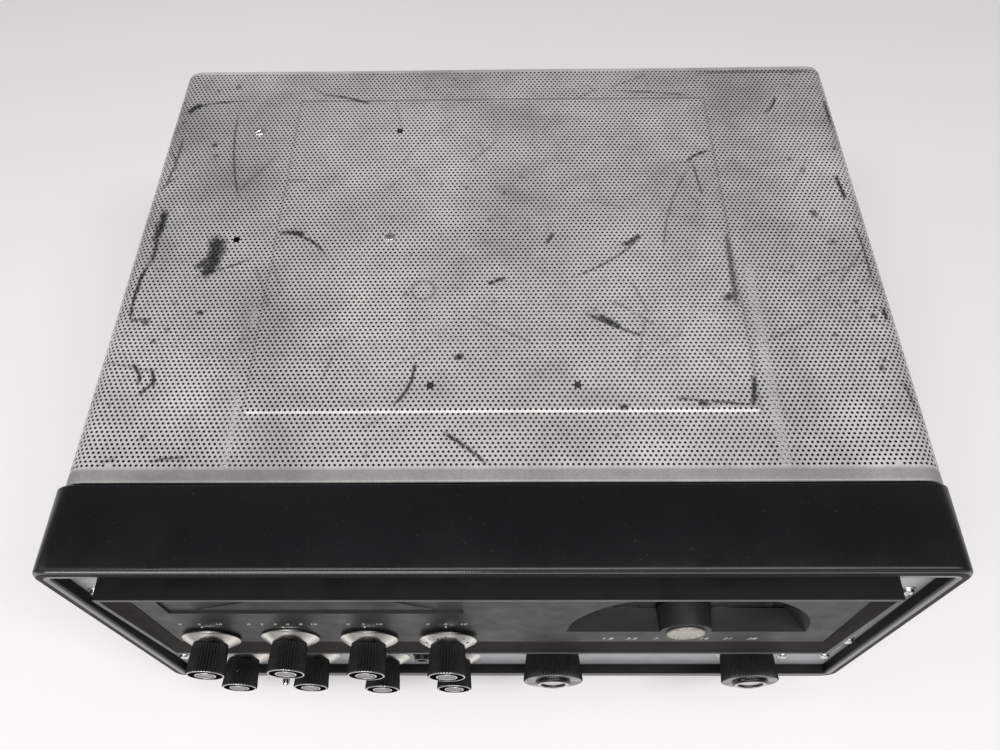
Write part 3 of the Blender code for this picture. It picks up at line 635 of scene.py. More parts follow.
PITCH = 3.175  # across the sheet, between holes of one row, halved by the next row's holes
ROW = 2.75  # along the depth, between rows
HOLE = 0.90  # radius
HOLE_SIDES = 8
SHEET = 1.0  # thickness seen in the holes and the hem
SLEEVE_RADIUS = 14.0  # of the long bends
LIP_DEPTH = 53.4  # where the sheet starts
ROLL = 1.4  # how far in the sheet's front and back edges start to round off
STRIP_DARKENING = 0.52  # how much darker the plain strip along the front is made
SCREW_HOLE = 2.4  # radius of a screw's hole
FIRST_ROW = 62.7  # where the holes start
LAST_BAND = 3.4  # plain strip along the back
HEM = 5.0  # width of the turned edge
PLAIN_FOOT = 22.0  # plain strip along each side's foot
FRONT_BANDS = 8  # grid rows ahead of the first row of holes
GAP_COLUMN = 142  # the half pitch, counted from the middle, where the first row misses a hole
PLATEAU = (-154.5, 156.0, 97.0, 375.0)  # the raised field's lowest and highest x, then depth
PLATEAU_RISE = 1.2
PLATEAU_SLOPE = 3.5  # width of its edge
SCREW_HOLES = ((-75.3, 339.7), (-179.4, 233.7), (-40.8, 115.7), (48.4, 115.3))

# Scuffs on the top: start and end (x, depth), how far the middle bows, width and strength
SCUFFS = (
    (-237, 333, -240, 284, 1, 2.4, 0.5),
    (-245, 322, -236, 301, 2, 2.0, 0.5),
    (-243, 282, -234, 293, 1, 1.8, 0.5),
    (-235, 262, -236, 233, 1, 6.0, 0.7),
    (-239, 251, -234, 214, 2, 3.4, 0.6),
    (-236, 212, -237, 169, -2, 3.0, 0.7),
    (-237, 167, -224, 168, 0, 2.0, 0.6),
    (-227, 133, -220, 119, 2, 2.8, 0.9),
    (-215, 130, -211, 117, 1, 2.8, 0.9),
    (-218, 112, -211, 120, 0, 2.4, 0.7),
    (-195, 238, -196, 202, 3, 12.0, 0.66),
    (-186, 228, -203, 209, 0, 8.0, 0.6),
    (-190, 236, -192, 214, 0, 9.0, 0.6),
    (-200, 206, -169, 217, -2, 1.8, 0.55),
    (-195, 174, -191, 172, 0, 3.6, 0.9),
    (-239, 362, -230, 371, 1, 6.0, 0.75),
    (-232, 370, -196, 375, 1, 1.9, 0.7),
    (-200, 357, -186, 276, -3, 1.5, 0.6),
    (-137, 381, -104, 372, 2, 2.2, 0.65),
    (-112, 374, -101, 371, 0, 3.6, 0.6),
    (-150, 240, -118, 221, 4, 2.4, 0.75),
    (-150, 239, -134, 238, 1, 3.6, 0.75),
    (-26, 139, -24, 135, 0, 6.0, 0.8),
    (-52, 132, -63, 103, 3, 2.4, 0.8),
    (-32, 84, -8, 65, 1, 2.8, 0.8),
    (-8, 194, 3, 199, 0, 3.2, 0.95),
    (31, 228, 36, 237, 0, 2.8, 0.8),
    (-202, 66, -182, 69, 1, 2.0, 0.6),
    (96, 235, 49, 200, 4, 1.7, 0.6),
    (94, 235, 82, 226, 1, 4.2, 0.7),
    (56, 169, 87, 153, -1, 2.2, 0.75),
    (62, 168, 76, 159, 0, 4.2, 0.75),
    (134, 304, 151, 315, 2, 2.6, 0.75),
    (138, 302, 141, 271, 0, 1.5, 0.6),
    (137, 302, 109, 220, -5, 1.4, 0.42),
    (153, 236, 151, 176, 0, 4.4, 0.5),
    (146, 184, 149, 181, 0, 9.0, 0.6),
    (209, 374, 199, 357, 2, 2.4, 0.7),
    (238, 290, 240, 268, 0, 3.4, 0.75),
    (241, 244, 242, 197, 1, 2.2, 0.55),
    (244, 174, 244, 164, 0, 4.0, 0.7),
    (154, 122, 150, 101, 0, 4.0, 0.65),
    (104, 107, 152, 102, 0, 2.0, 0.6),
    (159, 404, 246, 403, 0, 2.6, 0.45),
    (86, 383, 146, 377, 1, 1.6, 0.5),
    (247, 371, 247, 346, 0, 4.0, 0.6),
    (-230, 66, -222, 68, 0, 2.4, 0.5),
    (243, 118, 246, 102, 0, 3.0, 0.5),
    (118, 103, 124, 103, 0, 3.6, 0.8),
    (71, 101, 76, 101, 0, 3.6, 0.8),
)
RING_STAIN = (-50.0, 189.0, 7.5)

# The sleeve's middle, top and back, then its flat half, bend and side as lengths along the sheet
SLEEVE_CENTRE = (SLEEVE[1].x + SLEEVE[0].x) / 2
SLEEVE_TOP = SURROUND[1].z - 1.5
SLEEVE_BACK = SLEEVE[1].y - FRONT
FLAT = (SLEEVE[1].x - SLEEVE[0].x) / 2 - SLEEVE_RADIUS
BEND = math.pi / 2 * SLEEVE_RADIUS
SIDE = SLEEVE_TOP - SLEEVE_RADIUS - SLEEVE[0].z
HOLE_ROWS = int((SLEEVE_BACK - LAST_BAND - FIRST_ROW) / ROW)
FAR_COLUMN = int((FLAT + BEND + SIDE - PLAIN_FOOT) / (PITCH / 2))


def smooth_step(value, low, high):
    """0 below low, 1 above high, with a smooth run between."""
    t = np.clip((value - low) / (high - low), 0.0, 1.0)
    return t * t * (3 - 2 * t)


def sleeve_map(u, v, sink):
    """Points of the sleeve for distances u across it from the top's centre line and depths v."""
    reach = np.abs(u)
    angle = np.clip((reach - FLAT) / SLEEVE_RADIUS, 0.0, math.pi / 2)
    down = np.maximum(reach - FLAT - BEND, 0.0)
    normal_x = np.sin(angle)
    normal_z = np.cos(angle)
    x = np.minimum(reach, FLAT) + SLEEVE_RADIUS * normal_x
    z = SLEEVE_TOP - SLEEVE_RADIUS + SLEEVE_RADIUS * normal_z - down
    x0, x1, y0, y1 = PLATEAU
    run = PLATEAU_SLOPE
    plan = u + SLEEVE_CENTRE
    rise = smooth_step(plan, x0, x0 + run) * (1 - smooth_step(plan, x1 - run, x1))
    rise = rise * smooth_step(v, y0, y0 + run) * (1 - smooth_step(v, y1 - run, y1))
    roll = np.clip((LIP_DEPTH + ROLL - v) / ROLL, 0.0, 1.0)
    roll_back = np.clip((v - SLEEVE_BACK + ROLL) / ROLL, 0.0, 1.0)
    curl = (1 - np.sqrt(1 - roll**2 * 0.98)) + (1 - np.sqrt(1 - roll_back**2 * 0.98))
    wave = 0.18 * np.sin(plan / 37.0 + 1.3) * np.sin(v / 52.0 + 0.4) * (reach < FLAT)
    lift = PLATEAU_RISE * rise - curl + wave - sink
    points = np.empty((len(u), 3))
    points[:, 0] = SLEEVE_CENTRE + np.sign(u) * (x + lift * normal_x)
    points[:, 1] = FRONT + v
    points[:, 2] = z + lift * normal_z
    return points


def scratches(x, v):
    """Short light scratches and small dark specks strewn over the top."""
    total = np.zeros(len(x))
    strewn = np.random.default_rng(21)
    for _ in range(46):
        x0, y0 = strewn.uniform(-240, 240), strewn.uniform(70, 395)
        turn = strewn.uniform(0, math.pi)
        length = strewn.uniform(8, 46)
        strength = strewn.uniform(0.18, 0.5)
        along = (x - x0) * math.cos(turn) + (v - y0) * math.sin(turn)
        across = np.abs((v - y0) * math.cos(turn) - (x - x0) * math.sin(turn))
        mark = np.clip(1.5 - across / 0.7, 0.0, 1.0) * (np.abs(along) < length / 2)
        total = np.maximum(total, strength * mark)
    for _ in range(80):
        edge = strewn.uniform() < 0.45
        x0 = strewn.choice((-1, 1)) * strewn.uniform(205, 246) if edge else strewn.uniform(-200, 200)
        y0 = strewn.uniform(60, 402)
        size = strewn.uniform(0.8, 2.4) if edge else strewn.uniform(0.6, 1.5)
        strength = strewn.uniform(0.4, 0.95) if edge else strewn.uniform(0.3, 0.7)
        spot = np.clip(1.4 - np.hypot(x - x0, (v - y0) / strewn.uniform(0.7, 1.6)) / size, 0.0, 1.0)
        total = np.maximum(total, strength * spot)
    return total


def large_scuffs(x, v, jitter):
    """The marks in SCUFFS: bowed strokes that taper at their ends and are ragged at their edges."""
    total = np.zeros(len(x))
    for x0, y0, x1, y1, bow, width, strength in SCUFFS:
        along = np.array([x1 - x0, y1 - y0], float)
        length = np.hypot(*along)
        along /= length
        dx = x - x0
        dy = v - y0
        t = (dx * along[0] + dy * along[1]) / length
        gap = np.abs(dy * along[0] - dx * along[1] - bow * 4 * t * (1 - t))
        taper = np.clip(np.minimum(t, 1 - t) * 5 + 0.35, 0.0, 1.0) * ((t > -0.05) & (t < 1.05))
        mark = np.clip(1.2 - gap / (0.5 * width), 0.0, 1.0) * taper
        strong = min(1.0, 1.5 * strength)
        total = np.maximum(total, strong * np.clip(1.3 * mark + jitter * (mark > 0), 0.0, 1.0))
    return total


def plateau_shade(x, v):
    """A painted shade line at the foot of the raised field's edge."""
    x0, x1, y0, y1 = PLATEAU
    edge_y = np.minimum(np.abs(v - y0 - 1), np.abs(v - y1 + 1))
    edge_x = np.minimum(np.abs(x - x0 - 1), np.abs(x - x1 + 1))
    inside = (x > x0) & (x < x1) & (v > y0) & (v < y1)
    step = np.where(inside, np.minimum(edge_y, edge_x), 9.0)
    return 0.22 * np.clip(1 - step / 1.6, 0.0, 1.0)


def scuff_amount(u, v):
    """How dark each point of the sleeve is made, from 0 to 1: rubbed marks and stains, a darker plain strip
    along the front, and painted shade along the raised field's edge.
    """
    x = u + SLEEVE_CENTRE
    jitter = RNG.normal(0.0, 0.22, len(u))
    total = np.maximum(large_scuffs(x, v, jitter), scratches(x, v))
    ring = np.abs(np.hypot(x - RING_STAIN[0], v - RING_STAIN[1]) - RING_STAIN[2])
    total = np.maximum(total, 0.45 * np.clip(1 - ring / 1.6, 0.0, 1.0))
    corner = np.exp(-((np.abs(u) - FLAT - BEND * 0.35) ** 2) / 90.0)
    patchy = np.sin(v / 17.0 + 2.0 * np.sin(v / 7.3)) + 0.6 * np.sin(v / 5.1 + u / 90.0)
    total = np.maximum(total, corner * np.clip(0.16 * patchy + 0.05 + jitter * 0.3, 0.0, 0.5))
    # Painted shade: a dark line along the foot of the raised field's edge.
    total = np.maximum(total, plateau_shade(x, v))
    # The plain strip along the front is made darker.
    strip = 1 - smooth_step(v, FIRST_ROW - 2.0, FIRST_ROW + 0.5)
    return np.maximum(total, STRIP_DARKENING * strip)


def ring_triangles():
    """Triangles between a cell's six outer points and its hole's points, by local index."""
    outer = [(-1, -1), (0, -1), (1, -1), (1, 1), (0, 1), (-1, 1)]
    outer_angle = [math.atan2(z * ROW, x * PITCH) % (2 * math.pi) for x, z in outer]
    inner_angle = [2 * math.pi * k / HOLE_SIDES for k in range(HOLE_SIDES)]
    order_out = sorted(range(6), key=lambda k: outer_angle[k])
    triangles = []
    i = j = 0
    while i < 6 or j < HOLE_SIDES:
        here_out = order_out[i % 6]
        here_in = 6 + j % HOLE_SIDES
        after_in = (j + 1) % HOLE_SIDES
        next_out = outer_angle[order_out[(i + 1) % 6]] + 2 * math.pi * ((i + 1) // 6)
        next_in = inner_angle[after_in] + 2 * math.pi * ((j + 1) // HOLE_SIDES)
        if j >= HOLE_SIDES or (i < 6 and next_out <= next_in):
            triangles.append((here_out, order_out[(i + 1) % 6], here_in))
            i += 1
        else:
            triangles.append((here_in, here_out, 6 + after_in))
            j += 1
    return triangles


def nearest_hole(u, v):
    """The centre of the small hole nearest to a place on the sleeve."""
    row = round((v - FIRST_ROW) / ROW - 0.5)
    column = 2 * round((u / (PITCH / 2) - row) / 2) + row
    return column * PITCH / 2, FIRST_ROW + ROW * (row + 0.5)


def band_cells(column_span, row_span):
    """A stretch's grid cells: (column, row) of each hole's middle and of each plain quad's corner."""
    holes = []
    plain = []
    for row in range(*row_span):
        pattern = row - FRONT_BANDS
        column = column_span[0]
        while column < column_span[1]:
            middle = column + 1
            staggered = 0 <= pattern < HOLE_ROWS and (middle - pattern) % 2 == 0
            fits = staggered and middle < column_span[1] and abs(middle) <= FAR_COLUMN
            left_out = pattern == 0 and abs(abs(middle) - GAP_COLUMN) < 2
            if fits and not left_out:
                holes.append((middle, row))
                column += 2
            else:
                plain.append((column, row))
                column += 1
    return np.array(holes).reshape(-1, 2), np.array(plain).reshape(-1, 2)


def open_screw_holes(u, v):
    """Points pushed out of the large screw holes, and which points stood in one."""
    inside = np.zeros(len(u), bool)
    for x, depth in SCREW_HOLES:
        middle, depth = nearest_hole(x - SLEEVE_CENTRE, depth)
        away = np.hypot(u - middle, v - depth)
        near = away < SCREW_HOLE
        push = np.where(near, SCREW_HOLE / np.maximum(away, 0.05), 1.0)
        u = middle + (u - middle) * push
        v = depth + (v - depth) * push
        inside |= near
    return u, v, inside


def perforated_band(name, column_span, row_span, rows_v):
    """One stretch of the sleeve: holes where the pattern runs, plain quads elsewhere."""
    c0, c1 = column_span
    r0, r1 = row_span
    width = c1 - c0 + 1
    grid_u = np.arange(c0, c1 + 1) * PITCH / 2
    grid = np.array([(u, v) for v in rows_v[r0 : r1 + 1] for u in grid_u])
    cells, plain = band_cells(column_span, row_span)
    corner = (plain[:, 1] - r0) * width + plain[:, 0] - c0
    plain = np.stack([corner, corner + 1, corner + width + 1, corner + width], 1)

    base = len(grid)
    count = len(cells)
    ring = np.array(circle(HOLE, HOLE_SIDES))
    hole_u = (cells[:, :1] * PITCH / 2 + ring[:, 0]).ravel()
    hole_v = (np.array(rows_v)[cells[:, 1:]] + ROW / 2 + ring[:, 1]).ravel()
    first = (cells[:, 1] - r0) * width + (cells[:, 0] - 1 - c0)
    above = first + width
    outer = np.stack([first, first + 1, first + 2, above + 2, above + 1, above], 1)
    inner = base + np.arange(count * HOLE_SIDES).reshape(-1, HOLE_SIDES)
    local = np.concatenate([outer, inner], 1)
    triangles = local[:, np.array(ring_triangles())].reshape(-1, 3)
    deep = inner + count * HOLE_SIDES
    after = np.roll(np.arange(HOLE_SIDES), -1)
    walls = np.stack([inner[:, after], inner, deep, deep[:, after]], 2).reshape(-1, 4)

    u = np.concatenate([grid[:, 0], hole_u, hole_u])
    v = np.concatenate([grid[:, 1], hole_v, hole_v])
    sink = np.zeros(len(u))
    sink[base + count * HOLE_SIDES :] = SHEET
    u, v, inside = open_screw_holes(u, v)
    triangles, plain, walls = (part[~inside[part].all(1)] for part in (triangles, plain, walls))
    # Faces inside the holes are flagged here; the sleeve paint turns them near-black as painted shade.
    bore = np.zeros(len(triangles) + len(plain) + len(walls))
    bore[len(triangles) + len(plain) :] = 1.0
    quads = np.concatenate([plain, walls])
    made = bulk_piece(name, sleeve_map(u, v, sink), triangles, quads, M["sleeve"], bore)
    # Rubbed marks, stains and painted shade along the raised field's edge, kept for the paint.
    wear_and_shade = made.data.attributes.new("wear_and_shade", "FLOAT", "POINT")
    wear_and_shade.data.foreach_set("value", scuff_amount(u, v).astype(np.float32))
    return made


def bulk_piece(name, points, triangles, quads, material, bore):
    """A large mesh filled in one go, with a flag on the faces inside its holes, which the sleeve paint
    turns near-black as painted shade.
    """
    data = bpy.data.meshes.new(name)
    data.vertices.add(len(points))
    data.vertices.foreach_set("co", (points * MM).astype(np.float32).ravel())
    loops = np.concatenate([triangles.ravel(), quads.ravel()]).astype(np.int32)
    sizes = np.concatenate([np.full(len(triangles), 3), np.full(len(quads), 4)]).astype(np.int32)
    starts = np.concatenate([[0], np.cumsum(sizes)[:-1]]).astype(np.int32)
    data.loops.add(len(loops))
    data.loops.foreach_set("vertex_index", loops)
    data.polygons.add(len(sizes))
    data.polygons.foreach_set("loop_start", starts)
    data.polygons.foreach_set("loop_total", sizes)
    data.update(calc_edges=True)
    flags = data.attributes.new("bore", "FLOAT", "FACE")
    flags.data.foreach_set("value", bore.astype(np.float32))
    data.validate()
    data.materials.append(material)
    shade(data, 40.0)
    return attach(placed(name, data), ROOT)


def cabinet_sleeve():
    """The perforated sleeve in stretches that together make one sheet."""
    rows_v = [LIP_DEPTH + more for more in (0.0, 0.2, 0.5, 0.9, ROLL)] + [56.6, 58.5, 60.6]
    rows_v += [FIRST_ROW + ROW * k for k in range(HOLE_ROWS + 1)]
    rows_v += [SLEEVE_BACK - less for less in (3.0, ROLL, 0.8, 0.3, 0.0)]
    last = int((FLAT + BEND + SIDE) / (PITCH / 2))
    top_edge = int((FLAT + BEND * 0.5) / (PITCH / 2))
    total = len(rows_v) - 1
    thirds = [0, FRONT_BANDS + HOLE_ROWS // 3, FRONT_BANDS + 2 * HOLE_ROWS // 3, total]
    halves = [0, FRONT_BANDS + HOLE_ROWS // 2, total]
    plans = (
        ("top", (-top_edge, top_edge), thirds),
        ("left", (-last, -top_edge), halves),
        ("right", (top_edge, last), halves),
    )
    made = []
    for place, column_span, stops in plans:
        for number, row_span in enumerate(zip(stops, stops[1:])):
            made.append(perforated_band(f"sleeve_{place}_{number + 1}", column_span, row_span, rows_v))
    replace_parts(made[0], "cabinet_wrap")
    return made


def sleeve_hem():
    """The narrow edge turned in round the sleeve's open back."""
    right = np.concatenate([[0.0], np.linspace(FLAT, FLAT + BEND, 9), [FLAT + BEND + SIDE]])
    u = np.concatenate([-right[:0:-1], right])
    count = len(u)
    inner = SLEEVE_BACK - SHEET
    loop = ((SLEEVE_BACK, 0.0), (SLEEVE_BACK, HEM), (inner, HEM), (inner, SHEET))
    rings = [sleeve_map(u, np.full(count, depth), np.full(count, sink)) for depth, sink in loop]
    points = [tuple(ring[at]) for at in range(count) for ring in rings]
    last = 4 * (count - 1)
    ends = [(0, 1, 2, 3), (last + 3, last + 2, last + 1, last)]
    piece("sleeve_hem", points, ring_quads(count, 4) + ends, M["sleeve"])


# ---------------------------------------------------------------- knobs

SHAFT = 3.17  # radius
KNOB_TAPER = {"knob_load": 2.2, "knob_tune": 1.3}  # a large knob's radius, less at its back


def fluted_rings(profile, flutes, groove, segments_per_flute=6):
    """Rings of points for a body whose side is fluted, from (radius, depth, flute depth) rows."""
    count = flutes * segments_per_flute
    angles = 2 * np.pi * np.arange(count) / count
    phase = (np.arange(count) % segments_per_flute) / segments_per_flute * 2 - 1
    scallop = 1 - phase**2
    rings = []
    for radius, depth, amount in profile:
        reach = radius - groove * amount * scallop
        rings.append(np.stack([reach * np.cos(angles), np.full(count, depth), reach * np.sin(angles)], 1))
    return np.array(rings)


def fluted_body(name, profile, flutes, groove, centre, body):
    """A closed fluted body: its side is the profile, and its ends are closed by discs."""
    rings = fluted_rings(profile, flutes, groove)
    count = rings.shape[1]
    points = rings.reshape(-1, 3) + np.array([centre[0], FRONT, centre[1]])
    last = (len(rings) - 1) * count
    ends = [tuple(range(count - 1, -1, -1)), tuple(range(last, last + count))]
    faces = ring_quads(len(rings), count) + ends
    middle = float(np.mean([p[1] for p in profile]))
    made = piece(name, points, faces, M["knob"], body, (centre[0], FRONT + middle, centre[1]), 40.0)
    return made


def middle_of(node):
    """The (x, z) centre of a node in millimetres."""
    low, high = node_box(node)
    return (low.x + high.x) / 2, (low.z + high.z) / 2


def round_node(node):
    """A round node's (x, z) centre, radius, and front and back depth."""
    low, high = node_box(node)
    return middle_of(node), (high.x - low.x) / 2, low.y - FRONT, high.y - FRONT


def knob_shaft(name, centre, front, back, body, tip):
    """The shaft behind a knob, a little narrower at its tip."""
    shaft = [(0.0, front), (SHAFT, front), (SHAFT, back - 0.4), (tip, back), (0.0, back)]
    turned(name, shaft, centre, M["plated"], body, 32)


def small_knob(number):
    """One small knob: fluted body, its face rings and cap, shaft and grub screw."""
    body = f"small_knob_{number}"
    name = f"knob_{number}"
    centre, _, face, shaft_back = round_node(name)
    _, _, skirt_front, _ = round_node(f"skirt_{number}")
    back = skirt_front - 0.25
    profile = [
        (11.6, face + 0.25, 0.2),
        (12.1, face + 0.6, 0.8),
        (12.2, face + 1.2, 1.0),
        (11.7, face + 9.0, 1.0),
        (11.2, back - 0.6, 1.0),
        (10.9, back, 0.6),
    ]
    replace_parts(fluted_body(f"{name}_body", profile, 40, 0.85, centre, body), name)
    rim = [(10.7, face + 0.6), (10.7, face + 0.1), (11.2, face), (11.55, face + 0.2), (11.55, face + 0.6)]
    turned(f"{name}_rim", softened(rim, 0.15), centre, M["ring"], body, 80)
    disc = [(0.0, face + 0.18), (10.8, face + 0.18), (10.8, face + 0.9), (0.0, face + 0.9)]
    turned(f"{name}_face", disc, centre, M["dull"], body, 64)
    ring = [(5.7, face + 0.5), (5.7, face - 0.15), (6.1, face - 0.3), (6.7, face), (6.7, face + 0.5)]
    turned(f"{name}_ring", softened(ring, 0.15), centre, M["ring"], body, 64)
    cap = [(0.0, face + 0.15), (2.0, face + 0.05), (4.6, face - 0.25), (5.2, face + 0.1), (5.2, face + 0.5)]
    turned(f"{name}_cap", cap, centre, M["cap"], body, 48)
    knob_shaft(f"{name}_shaft", centre, back - 0.5, shaft_back, body, 2.8)
    small_skirt(number, centre, body)
    height = 11.3 if number == 5 else -11.3
    screw_hole(f"{name}_grub", centre, height, face + 11.0, body)


def small_skirt(number, centre, body):
    """The spun skirt behind a small knob, a shallow dish with a turned edge."""
    _, radius, front, back = round_node(f"skirt_{number}")
    bore = SHAFT + 0.28
    profile = [
        (bore, front + 0.3),
        (bore, front),
        (11.6, front),
        (12.6, front + 0.35),
        (radius - 0.35, back - 1.25),
        (radius, back - 0.9),
        (radius, back - 0.15),
        (radius - 0.4, back),
        (radius - 1.2, back - 0.2),
        (12.4, front + 1.4),
        (bore, front + 1.4),
        (bore, front + 0.3),
    ]
    made = turned(f"skirt_{number}_spun", profile, centre, M["spun"], body, 96, smooth_deg=25.0)
    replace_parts(made, f"skirt_{number}")


def screw_hole(name, centre, height, depth, body):
    """The set screw in its socket: a flat ring on the knob's side with a dark pit in it."""
    x, z = centre
    out = math.copysign(1.0, height)
    points = []
    for radius, reach in ((2.0, 0.05), (1.6, 0.15), (1.5, -0.4), (0.8, -0.5), (0.7, -1.6)):
        level = z + height + out * reach
        points += [(x + a, FRONT + depth + b, level) for a, b in circle(radius, 24)]
    floor = [tuple(range(4 * 24, 5 * 24))]
    return piece(name, points, ring_quads(5, 24) + floor, M["gloss"], body)


def large_knob(node, name):
    """One large knob: finely fluted side, grey face, raised black ring and bright cap."""
    centre, radius, front, shaft_back = round_node(node)
    back_radius = radius - KNOB_TAPER[node]
    face = front + 2.6
    back = face + 19.0
    profile = [
        (radius - 0.6, face + 0.1, 0.3),
        (radius, face + 0.7, 1.0),
        (radius - 0.3, face + 4.0, 1.0),
        (back_radius, back - 0.8, 1.0),
        (back_radius - 0.6, back, 0.6),
    ]
    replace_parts(fluted_body(f"{name}_body", profile, 72, 0.6, centre, name), node)
    plate = [
        (11.2, face + 0.6),
        (11.2, face - 0.12),
        (radius - 1.2, face - 0.12),
        (radius - 0.7, face + 0.2),
        (radius - 0.7, face + 0.6),
    ]
    turned(f"{name}_face", softened(plate, 0.15), centre, M["face_grey"], name, 96)
    ring = [
        (8.6, face + 0.4),
        (8.6, face - 1.9),
        (9.2, face - 2.4),
        (11.4, face - 2.4),
        (12.2, face - 1.6),
        (12.4, face + 0.4),
    ]
    turned(f"{name}_ring", softened(ring, 0.3), centre, M["gloss"], name, 72)
    trim = [(8.9, face - 2.2), (9.4, face - 2.6), (10.4, face - 2.6), (10.9, face - 2.3)]
    turned(f"{name}_trim", trim, centre, M["ring"], name, 72)
    cap = [(0.0, face - 1.5), (5.0, face - 1.35), (8.65, face - 0.9), (8.65, face + 0.2), (0.0, face + 0.2)]
    turned(f"{name}_cap", softened(cap, 0.3), centre, M["ring"], name, 64)
    knob_shaft(f"{name}_shaft", centre, back - 0.5, shaft_back, name, SHAFT - 0.4)


def tuning_flange():
    """The thin metal flange behind the tuning knob."""
    centre, radius, front, back = round_node("tune_flange")
    bore = SHAFT + 0.3
    profile = [
        (bore, front),
        (radius - 1.4, front),
        (radius - 0.2, front + 0.7),
        (radius, back - 0.3),
        (radius - 0.4, back),
        (bore, back),
    ]
    made = turned("tune_flange_spun", softened(profile, 0.2), centre, M["spun"], "tune_knob", 96)
    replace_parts(made, "tune_flange")


# ---------------------------------------------------------------- dial and meter


def flat_marks(name, marks, depth, material, body=ROOT):
    """Thin printed bars, each (x, z, length, width, angle), as one piece."""
    points = []
    faces = []
    for x, z, length, width, angle in marks:
        along = Vector((math.cos(angle), math.sin(angle))) * length / 2
        across = Vector((-math.sin(angle), math.cos(angle))) * width / 2
        base = len(points)
        for corner in (-along - across, along - across, along + across, -along + across):
            points.append((x + corner.x, FRONT + depth, z + corner.y))
        faces.append((base, base + 1, base + 2, base + 3))
    return piece(name, points, faces, material, body)


def numbers(name, entries, depth, material, body=ROOT, lean=0.0):
    """Printed numbers as one piece, from (text, x, z, size, angle) entries."""
    points = []
    faces = []
    for text, x, z, size, angle in entries:
        curve = bpy.data.curves.new("number", "FONT")
        curve.body = text
        curve.size = size
        curve.align_x = "CENTER"
        curve.align_y = "CENTER"
        curve.shear = lean
        curve.resolution_u = 3
        holder = placed("number", curve)
        bpy.context.view_layer.update()
        flat = holder.evaluated_get(bpy.context.evaluated_depsgraph_get()).to_mesh()
        base = len(points)
        turn = Matrix.Rotation(angle, 2)
        for vertex in flat.vertices:
            spot = turn @ Vector((vertex.co.x, vertex.co.y))
            points.append((x + spot.x, FRONT + depth, z + spot.y))
        for polygon in flat.polygons:
            faces.append(tuple(base + index for index in polygon.vertices))
        bpy.data.objects.remove(holder)
        bpy.data.curves.remove(curve)
    return piece(name, points, faces, material, body)


def around(x, z, reach, angle):
    """The (x, z) place at a distance and angle from a centre."""
    return x + reach * math.cos(angle), z + reach * math.sin(angle)


DIAL_SCALE = 67.0  # outer radius of the ticks
DIAL_FIGURES = 55.0
METER_SCALE = 20.5  # radius of the ticks about the needle's pivot
METER_FIGURES = 16.5


def dial():
    """The dial disc with its printed scale, the clear window and the hairline."""
    centre, radius, front, back = round_node("dial_disc")
    profile = [
        (0.0, front),
        (radius - 0.3, front),
        (radius, front + 0.3),
        (radius, front + 1.0),
        (6.0, front + 1.0),
        (6.0, front + 5.0),
        (3.0, front + 5.0),
        (3.0, back),
        (0.0, back),
    ]
    disc = turned("dial_disc_plate", profile, centre, M["dial"], "dial", 128)
    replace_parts(disc, "dial_disc")
    marks = []
    figures = []
    for step in range(101):
        angle = math.radians(180 - step * 1.8)
        long = step % 10 == 0
        length = 7.0 if long else 4.5 if step % 5 == 0 else 3.0
        width = 0.7 if long else 0.4
        marks.append((*around(*centre, DIAL_SCALE - length / 2, angle), length, width, angle))
        if long:
            figures.append((str(step), *around(*centre, DIAL_FIGURES, angle), 6.5, angle - math.pi / 2))
    flat_marks("dial_ticks", marks, front - PRINT_LIFT, M["scale"], "dial")
    numbers("dial_numbers", figures, front - PRINT_LIFT, M["scale"], "dial")
    detailed_copy("dial_window", "clear", 0.2, 1)
    hairline = [(DIAL_X, DIAL_Z + 45.0, 56.0, 0.5, math.pi / 2)]
    flat_marks("dial_hairline", hairline, WINDOW[1].y - FRONT + 0.05, M["scale"])


def badge():
    """The round badge blank in front of the dial's hub."""
    centre, _, face, back = round_node("medallion")
    profile = [
        (0.0, face + 0.25),
        (9.6, face + 0.25),
        (9.9, face),
        (11.4, face),
        (12.0, face + 0.5),
        (12.0, back),
        (0.0, back),
    ]
    made = turned("badge_blank", softened(profile, 0.2), centre, M["badge"], ROOT, 72)
    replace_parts(made, "medallion")


def meter():
    """The meter's case, scale plate, needle and window."""
    detailed_copy("meter_case", "bakelite", 0.4)
    low, high = METER
    floor = low.y - FRONT + 5.5
    outline = rounded_outline(low.x + 2.4, high.x - 2.4, low.z + 2.4, high.z - 2.4, 1.0, 3)
    extruded("meter_scale", outline, (floor - 0.5, floor - 0.05), M["meter"])
    pivot = ((low.x + high.x) / 2, low.z + 5.5)
    marks = []
    figures = []
    for step in range(11):
        angle = math.radians(130 - 8 * step)
        numbered = step % 2 == 0
        marks.append((*around(*pivot, METER_SCALE, angle), 2.6 if numbered else 1.6, 0.35, angle))
        if numbered:
            figures.append((str(step), *around(*pivot, METER_FIGURES, angle), 3.2, angle - math.pi / 2))
    flat_marks("meter_ticks", marks, floor - 0.55, M["black"])
    numbers("meter_numbers", figures, floor - 0.55, M["black"])
    recolour("meter_needle", "black")
    detailed_copy("meter_window", "clear", 0.3, 1)


def recolour(node, material):
    """A real material on a CAD node that keeps its own shape."""
    materials = frame["nodes"][node].data.materials
    materials.clear()
    materials.append(M[material])


# ---------------------------------------------------------------- escutcheon


